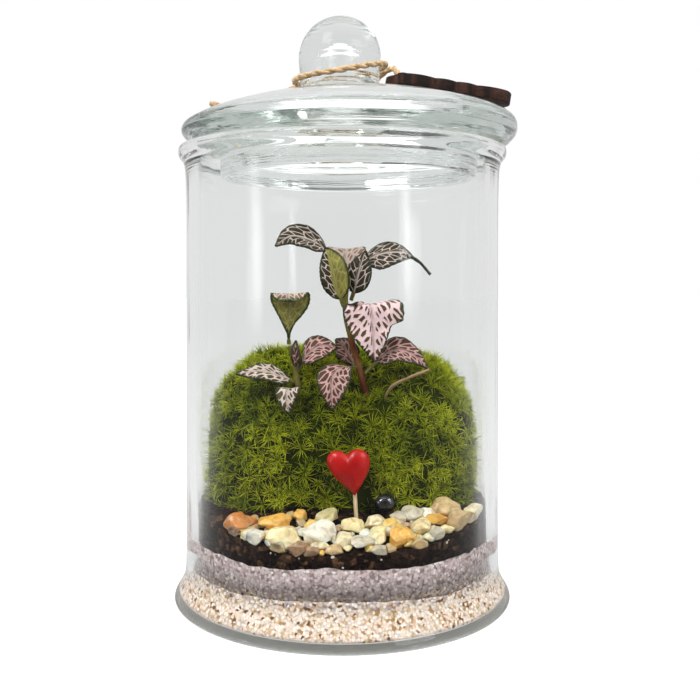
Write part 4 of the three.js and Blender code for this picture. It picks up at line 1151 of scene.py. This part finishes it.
# A rounded stone: a ball cut by planes, made lumpy, turned, and let down into the soil a little
def makeStone(x, y, length, turn, colour):
    draw = random.Random(int(1000 + 97 * x + 31 * y))
    stone = roundStart("stone", 4 if length > stoneForm["fineFrom"] else 3)
    cuts = []
    for _ in range(stoneForm["cuts"]):
        way = Vector((draw.gauss(0, 1), draw.gauss(0, 1), draw.gauss(0, 1))).normalized()
        cuts.append((way, draw.uniform(*stoneForm["cutReach"])))
    seed = Vector((x, y, length))
    turned = (Matrix.Rotation(math.atan(soilSlope["rise"]), 3, "X")
              @ Matrix.Rotation(math.radians(turn), 3, "Z")
              @ Matrix.Rotation(0.25 * draw.uniform(-0.5, 0.5), 3, "Y"))
    spin = Matrix.Rotation(draw.uniform(0, 3), 3, "X")
    for vertex in stone.data.vertices:
        point = vertex.co.normalized()
        for way, reach in cuts:
            over = point.dot(way) - reach
            if over > 0:
                point = point - way * (over * stoneForm["cutDepth"])
        vertex.co = spin @ (point * (1 + stoneForm["lump"] * noise.noise(point * 1.5 + seed)))
    grow = [2 / (max(axis) - min(axis)) for axis in zip(*(vertex.co for vertex in stone.data.vertices))]
    for vertex in stone.data.vertices:
        sized = [value * k * length * share for value, k, share in zip(vertex.co, grow, stoneForm["sides"])]
        vertex.co = turned @ Vector(sized)
    lift = max(soilTop(x + v.co.x, y + v.co.y) - v.co.z for v in stone.data.vertices)
    lift -= stoneForm["sink"] * length * draw.uniform(0.2, 1)
    for vertex in stone.data.vertices:
        vertex.co = heldIn(vertex.co + Vector((x, y, lift)), fillReach) * mm
    smoothFaces(stone)
    tone = draw.uniform(*stoneForm["tone"])
    storeTint(stone, "stoneTint", [min(c * tone, 1) for c in stoneColours[colour]])
    return stone


# Small chips that lie between the stones of a bed, clear of the gem, the stick and the glass
chipSettings = {
    "chips": 30, "length": (2.4, 4.4), "reach": 53.2, "back": -32,
    "clear": [(15.2, -29.6, 7), (4.9, -33.5, 3)],
    "colours": ["gold", "straw", "cream", "cream", "amber", "tan", "tan", "grey"],
}


def placeChips(stones, settings, draw):
    chips = []
    while len(chips) < settings["chips"]:
        x, y, length, _, _ = draw.choice(stones)
        angle = draw.uniform(0, 2 * math.pi)
        x += math.cos(angle) * length * 0.56
        y += math.sin(angle) * length * 0.5
        clear = all(math.hypot(x - px, y - py) > reach for px, py, reach in settings["clear"])
        if clear and y < settings["back"] and math.hypot(x, y) < settings["reach"]:
            size = draw.uniform(*settings["length"])
            chips.append((x, y, size, draw.uniform(-90, 90), draw.choice(settings["colours"])))
    return chips


quartzLook = quartzFinish()
for nodeName, stones in pebbleSettings.items():
    chips = placeChips(stones, chipSettings, random.Random(len(stones)))
    bed = joinPieces(camelName(nodeName), [makeStone(*stone) for stone in stones + chips])
    finishPiece(bed, [nodeName], "quartz_pebble", quartzLook)
print("pebbles laid")


# Moss: a dark lumpy core, and needle stars that stand on it and keep clear of the rest
mossSettings = {"stars": 1850, "needles": 17, "length": 6.2, "width": 0.19, "curl": 0.8,
                "leafClear": 1.0, "stemClear": 0.4, "heartClear": 1.4, "heartStep": 1.8, "gemClear": 4.3}


def mossFinish():
    finish, tree, shader = newFinish("greenMoss", 0.7, Specular_IOR_Level=0.0)
    along = addNode(tree, "Attribute", {"attribute_name": "tip"}).outputs["Fac"]
    tint = addNode(tree, "Attribute", {"attribute_name": "tint"}).outputs["Fac"]
    patch = addNoise(tree, objectPlace(tree), 60.0, 2.0)
    # Both ramps run from a near black root to a bright tip: partly the moss's own darker base, partly painted
    # shade deep in the cushion
    fresh = addRamp(tree, along, [(0.0, (0.03, 0.04, 0.001)), (0.4, (0.36, 0.41, 0.005)),
                                  (1.0, (0.9, 0.92, 0.06))])
    deep = addRamp(tree, along, [(0.0, (0.01, 0.014, 0.001)), (0.4, (0.06, 0.09, 0.002)),
                                 (1.0, (0.36, 0.45, 0.015))])
    mixed = addMath(tree, "ADD", addMath(tree, "MULTIPLY", patch, 0.9), addMath(tree, "MULTIPLY", tint, 0.6))
    paint(tree, shader, addMix(tree, addRange(tree, mixed, 0.45, 1.0), deep, fresh))
    return finish


# Places on the leaves, stems, heart and gem, each with the reach that the needles leave free
def keepClear(clear):
    places = []
    for leaf in leafSettings:
        route = Route(leaf["rib"])
        for i in range(13):
            places += [(point, clear["leafClear"]) for point, _, _, _ in bladeRow(leaf, route, i / 12, 7)]
    for settings in stemSettings:
        route = Route(settings["route"])
        places += [(route.at(i / 30), settings["radius"] + clear["stemClear"]) for i in range(31)]
    heart, step = heartSettings, clear["heartStep"]
    for i in range(-4, 5):
        for k in range(-4, 5):
            place = Vector((heart["x"] + i * step, heart["y"] + 2.6, heart["z"] + k * step))
            places.append((place, clear["heartClear"]))
    places.append((Vector((gemSettings["x"], gemSettings["y"], gemSettings["z"])), clear["gemClear"]))
    tree = KDTree(len(places))
    for index, (point, _) in enumerate(places):
        tree.insert(point, index)
    tree.balance()
    return tree, [reach for _, reach in places]


# One needle, a three-sided cone along Z that curls over, as points and triangles of length 1
def needleForm(curl):
    bpy.ops.object.select_all(action="DESELECT")
    bpy.ops.mesh.primitive_cone_add(vertices=3, radius1=1, radius2=0, depth=1, location=(0, 0, 0.5))
    needle = bpy.context.object
    bpy.ops.object.transform_apply(location=True)
    bpy.ops.object.mode_set(mode="EDIT")
    bpy.ops.mesh.select_all(action="SELECT")
    bpy.ops.mesh.bisect(plane_co=(0, 0, 0.5), plane_no=(0, 0, 1))
    bpy.ops.mesh.select_all(action="SELECT")
    bpy.ops.mesh.quads_convert_to_tris()
    bpy.ops.object.mode_set(mode="OBJECT")
    form = np.array([list(vertex.co) for vertex in needle.data.vertices])
    corners = [tuple(polygon.vertices) for polygon in needle.data.polygons]
    bpy.data.objects.remove(needle)
    along = form[:, 2].copy()
    form[:, 0] *= 1 - along * 0.2
    bend = curl * along
    over = np.where(bend > 1e-6, (1 - np.cos(bend)) / curl, 0)
    rise = np.where(bend > 1e-6, np.sin(bend) / curl, 0)
    return form[:, :2], over, rise, along, corners


def mossCore():
    core = roundStart("mossCore", 6)
    for vertex in core.data.vertices:
        way = vertex.co.normalized()
        point = corePoint(way)
        lump = 0.9 * noise.fractal(point / 4, 1.0, 2.0, 3)
        vertex.co = (point + way * (lump - 0.3)) * mm
    for vertex in core.data.vertices:
        x, y, z = vertex.co / mm
        vertex.co.z = max(z, soilTop(x, y) + 0.1) * mm
    core.data.update()
    smoothFaces(core)
    # The core takes the needles' near black root colour: partly the moss's own dark base, partly painted
    # shade inside the cushion
    storeValues(core, "tip", [0.05] * len(core.data.vertices))
    storeValues(core, "tint", [0.1] * len(core.data.vertices))
    return core


# The length, of four tries, at which a needle's tip and middle stand free of the rest, or None
def freeLength(root, way, fall, length, tipPlace, near):
    clear, reaches = near
    over, up = tipPlace
    for _ in range(4):
        tip = root + way * (up * length) + fall * (over * length)
        _, index, distance = clear.find(tip)
        _, middle, between = clear.find(root.lerp(tip, 0.5))
        if (distance > reaches[index] and between > reaches[middle]
                and math.hypot(tip.x, tip.y) < fillReach and tip.z > soilTop(tip.x, tip.y) + 0.4):
            return length
        length *= 0.72
    return None


def makeMoss(settings):
    core = mossCore()
    draw = random.Random(7)
    faces = [(face.center / mm, face.normal.copy(), face.area) for face in core.data.polygons
             if face.center.z > soilTop(face.center.x / mm, face.center.y / mm) * mm + 0.5 * mm]
    total = sum(area for _, _, area in faces)
    near = keepClear(settings)
    flat, over, rise, along, corners = needleForm(settings["curl"])
    tipPlace = max(over), max(rise)
    halves = ([], [], [], []), ([], [], [], [])
    for centre, normal, area in faces:
        if draw.random() > area / total * settings["stars"]:
            continue
        points, triangles, tips, tints = halves[centre.x > 0]
        jitter = Vector((draw.uniform(-1, 1), draw.uniform(-1, 1), draw.uniform(-1, 1)))
        axis = (normal + Vector((0, 0, 0.3)) + jitter * 0.45).normalized()
        root = centre + axis * draw.uniform(-0.4, 1.6)
        side = axis.orthogonal().normalized()
        other = axis.cross(side)
        tint = draw.random()
        size = settings["length"] * draw.uniform(0.6, 1.2)
        for k in range(settings["needles"]):
            angle = 2 * math.pi * (k * 0.382 + draw.uniform(-0.04, 0.04))
            spread = math.radians(draw.uniform(8, 70) if k % 3 else draw.uniform(4, 30))
            out = side * math.cos(angle) + other * math.sin(angle)
            way = axis * math.cos(spread) + out * math.sin(spread)
            fall = (out * math.cos(spread) - axis * math.sin(spread)).normalized()
            beside = way.cross(fall)
            length = freeLength(root, way, fall, size * draw.uniform(0.8, 1.1), tipPlace, near)
            if length is None:
                continue
            first = len(points)
            for (a, b), lean, up, share in zip(flat, over, rise, along):
                point = (root + way * (up * length) + fall * (lean * length + a * settings["width"])
                         + beside * (b * settings["width"]))
                points.append(point * mm)
                tips.append(share)
            tints += [tint] * len(flat)
            triangles += [tuple(first + corner for corner in face) for face in corners]
    look = mossFinish()
    finishPiece(core, ["moss"], "green_moss", look)
    for name, (points, triangles, tips, tints) in zip(("mossStarsLeft", "mossStarsRight"), halves):
        stars = meshPiece(name, points, triangles)
        storeValues(stars, "tip", tips)
        storeValues(stars, "tint", tints)
        finishPiece(stars, ["moss"], "green_moss", look)
        print(name, "has", len(triangles), "faces")


makeMoss(mossSettings)
print("moss planted")


# Tag: a flat outline with scalloped edges and a hole, given its thickness and eased edges
tagSettings = {"x": 15.4, "y": 0, "z": 196.1, "length": 48, "width": 31, "thickness": 4.2, "slope": 9,
               "turn": 4, "hole": 6.6, "holeRadius": 2.6, "ease": 0.25, "left": 3.6,
               "scallops": [11, 8, 8, 12]}


def bowPoints(start, middle, end, steps=8):
    line = []
    for i in range(1, steps + 1):
        t = i / steps
        line.append(tuple(a * (1 - t) ** 2 + 2 * b * t * (1 - t) + c * t * t
                          for a, b, c in zip(start, middle, end)))
    return line


def tagOutline(settings):
    scallops, left, half = settings["scallops"], settings["left"], settings["width"] / 2
    start = settings["length"] - left - sum(scallops)
    x = left + start * 0.5 + 1
    line = [(left, -half * 0.5)]
    line += bowPoints(line[-1], (left + 1, -half), (x, -half * 0.9))
    for length in scallops:
        line += bowPoints(line[-1], (x + length / 2, -half * 1.1), (x + length, -half * 0.9))
        x += length
    line += bowPoints(line[-1], (x + 5.4, -half * 0.5), (x + 1, 0))
    line += bowPoints(line[-1], (x + 5.4, half * 0.5), (x, half * 0.9))
    for length in reversed(scallops):
        line += bowPoints(line[-1], (x - length / 2, half * 1.1), (x - length, half * 0.9))
        x -= length
    line += bowPoints(line[-1], (left + 1, half), (left, half * 0.5))
    line += bowPoints(line[-1], (-1.5, 0), (left, -half * 0.5))
    return line[:-1]


def plywoodFinish():
    finish, tree, shader = newFinish("darkPlywood", 0.7, Specular_IOR_Level=0.2)
    grain = addNoise(tree, objectPlace(tree, (0.12, 1, 1)), 1500.0, 4.0)
    char = addNoise(tree, objectPlace(tree, (1, 1, 0.1)), 210.0, 3.0)
    wood = addRamp(tree, grain, [(0.3, (0.026, 0.01, 0.006)), (0.6, (0.062, 0.024, 0.014))])
    burnt = addRamp(tree, grain, [(0.3, (0.005, 0.0025, 0.002)), (0.7, (0.016, 0.007, 0.005))])
    paint(tree, shader, addMix(tree, addRange(tree, char, 0.42, 0.6), wood, burnt))
    addBump(tree, shader, grain, 0.5, 0.3 * mm)
    return finish


def makeTag(settings):
    shape = bpy.data.curves.new("tagShape", "CURVE")
    shape.dimensions = "2D"
    shape.fill_mode = "BOTH"
    ring = [(settings["hole"] + settings["holeRadius"] * math.cos(-2 * math.pi * i / 32),
             settings["holeRadius"] * math.sin(-2 * math.pi * i / 32)) for i in range(32)]
    for line in (tagOutline(settings), ring):
        spline = shape.splines.new("POLY")
        spline.points.add(len(line) - 1)
        for point, (x, y) in zip(spline.points, line):
            point.co = (x * mm, y * mm, 0, 1)
        spline.use_cyclic_u = True
    ease = settings["ease"] * mm
    shape.extrude = settings["thickness"] * mm / 2 - ease
    shape.bevel_depth = ease
    shape.bevel_resolution = 2
    shape.offset = -ease
    plate = bpy.data.objects.new("tagWood", shape)
    bpy.context.scene.collection.objects.link(plate)
    pickOnly(plate)
    bpy.ops.object.convert(target="MESH")
    plate = bpy.context.object
    lie = (Matrix.Translation(Vector((settings["x"], settings["y"], settings["z"])) * mm)
           @ Matrix.Rotation(math.radians(settings["turn"]), 4, "Z")
           @ Matrix.Rotation(math.radians(settings["slope"]), 4, "Y")
           @ Matrix.Translation((0, 0, settings["thickness"] * mm / 2)))
    plate.data.transform(lie)
    pickOnly(plate)
    bpy.ops.object.mode_set(mode="EDIT")
    bpy.ops.mesh.select_all(action="SELECT")
    bpy.ops.mesh.remove_doubles(threshold=1e-6)
    bpy.ops.mesh.normals_make_consistent(inside=False)
    bpy.ops.object.mode_set(mode="OBJECT")
    bpy.ops.object.shade_smooth_by_angle(angle=math.radians(35))
    finishPiece(plate, ["tag"], "dark_plywood", plywoodFinish())


makeTag(tagSettings)
print("tag cut")


# Plain pale floor that glows a little, and soft light: a pale surround that is dim behind the camera,
# so that the glass doesn't veil what is inside it
studioSettings = {
    "sky": 0.8, "front": 0.05, "frontFrom": (0.55, 0.97),
    "near": 0.06, "far": 0.6, "farFrom": (-0.05, 0.09), "under": 0.45, "underTo": (0.056, 0.075),
    "shade": 0.14, "floorSize": 8, "floorHeight": -0.0004, "aim": (0, 0, 0.08), "bounces": 24,
}
lampSettings = [
    {"name": "keyLight", "place": (-0.45, -0.5, 0.8), "size": (0.4, 0.4), "power": 6.5},
    {"name": "fillLight", "place": (0.55, -0.45, 0.6), "size": (0.4, 0.4), "power": 3.6},
    {"name": "topLight", "place": (0.0, 0.1, 1.2), "size": (1.4, 1.4), "power": 4},
    {"name": "leftStrip", "place": (-1.07, -0.55, 0.16), "size": (0.3, 0.34), "power": 3.2, "soft": True},
    {"name": "rightStrip", "place": (0.84, -0.86, 0.18), "size": (0.2, 0.3), "power": 2.2, "soft": True},
]


# A strip lamp that fades out to its edges, so that its reflection has no hard edge
def softenLamp(lampData):
    lampData.use_nodes = True
    tree = lampData.node_tree
    where = addNode(tree, "SeparateXYZ", Vector=addNode(tree, "NewGeometry").outputs["Parametric"])
    fades = [addRange(tree, addMath(tree, "ABSOLUTE", addMath(tree, "SUBTRACT", where.outputs[axis], 0.5)),
                      0.05, 0.5, 1.0, 0.0) for axis in ("X", "Y")]
    tree.links.new(addMath(tree, "MULTIPLY", *fades), tree.nodes["Emission"].inputs["Strength"])


def makeStudio(settings):
    bpy.ops.object.select_all(action="DESELECT")
    bpy.ops.mesh.primitive_plane_add(size=settings["floorSize"], location=(0, 0, settings["floorHeight"]))
    floor = bpy.context.object
    floor.name = "floor"
    finish, tree, shader = newFinish("paleFloor", 0.7, Emission_Color=(1, 1, 1, 1))
    cloud = addNoise(tree, objectPlace(tree), 3.0, 2.0)
    low, high = settings["shade"], settings["shade"] + 0.03
    paint(tree, shader, addRamp(tree, cloud, [(0.0, (low, low, low)), (1.0, (high, high, high))]))
    glow = addRange(tree, objectAxis(tree, "Y"), *settings["farFrom"], settings["near"], settings["far"])
    away = addNode(tree, "VectorMath", {"operation": "LENGTH"}, Vector=objectPlace(tree)).outputs["Value"]
    under = addRange(tree, away, *settings["underTo"], settings["under"], 0.0)
    glow = addMath(tree, "MAXIMUM", glow, under)
    seen = addNode(tree, "LightPath").outputs["Is Camera Ray"]
    tree.links.new(addMath(tree, "MAXIMUM", glow, seen), shader.inputs["Emission Strength"])
    floor.data.materials.append(finish)

    world = bpy.data.worlds.new("studio")
    world.use_nodes = True
    tree = world.node_tree
    where = addNode(tree, "SeparateXYZ", Vector=addNode(tree, "TexCoord").outputs["Generated"])
    behind = addMath(tree, "MULTIPLY", where.outputs["Y"], -1)
    dim = addRange(tree, behind, *settings["frontFrom"], 1.0, settings["front"])
    seen = addNode(tree, "LightPath").outputs["Is Camera Ray"]
    strength = addMath(tree, "MAXIMUM", addMath(tree, "MULTIPLY", dim, settings["sky"]), seen)
    tree.links.new(strength, tree.nodes["Background"].inputs["Strength"])
    tree.nodes["Background"].inputs["Color"].default_value = (1, 1, 1, 1)
    bpy.context.scene.world = world

    for lampSetting in lampSettings:
        lampData = bpy.data.lights.new(lampSetting["name"], "AREA")
        lampData.shape = "RECTANGLE"
        lampData.size, lampData.size_y = lampSetting["size"]
        lampData.energy = lampSetting["power"]
        if "soft" in lampSetting:
            softenLamp(lampData)
        lamp = bpy.data.objects.new(lampSetting["name"], lampData)
        lamp.location = lampSetting["place"]
        aim = Vector(settings["aim"]) - lamp.location
        lamp.rotation_euler = aim.to_track_quat("-Z", "Y").to_euler()
        bpy.context.scene.collection.objects.link(lamp)
    cycles = bpy.context.scene.cycles
    cycles.max_bounces = cycles.transmission_bounces = cycles.glossy_bounces = settings["bounces"]


makeStudio(studioSettings)
bpy.context.scene.view_settings.view_transform = "Standard"
bpy.context.scene.view_settings.look = "None"
print("studio lit")
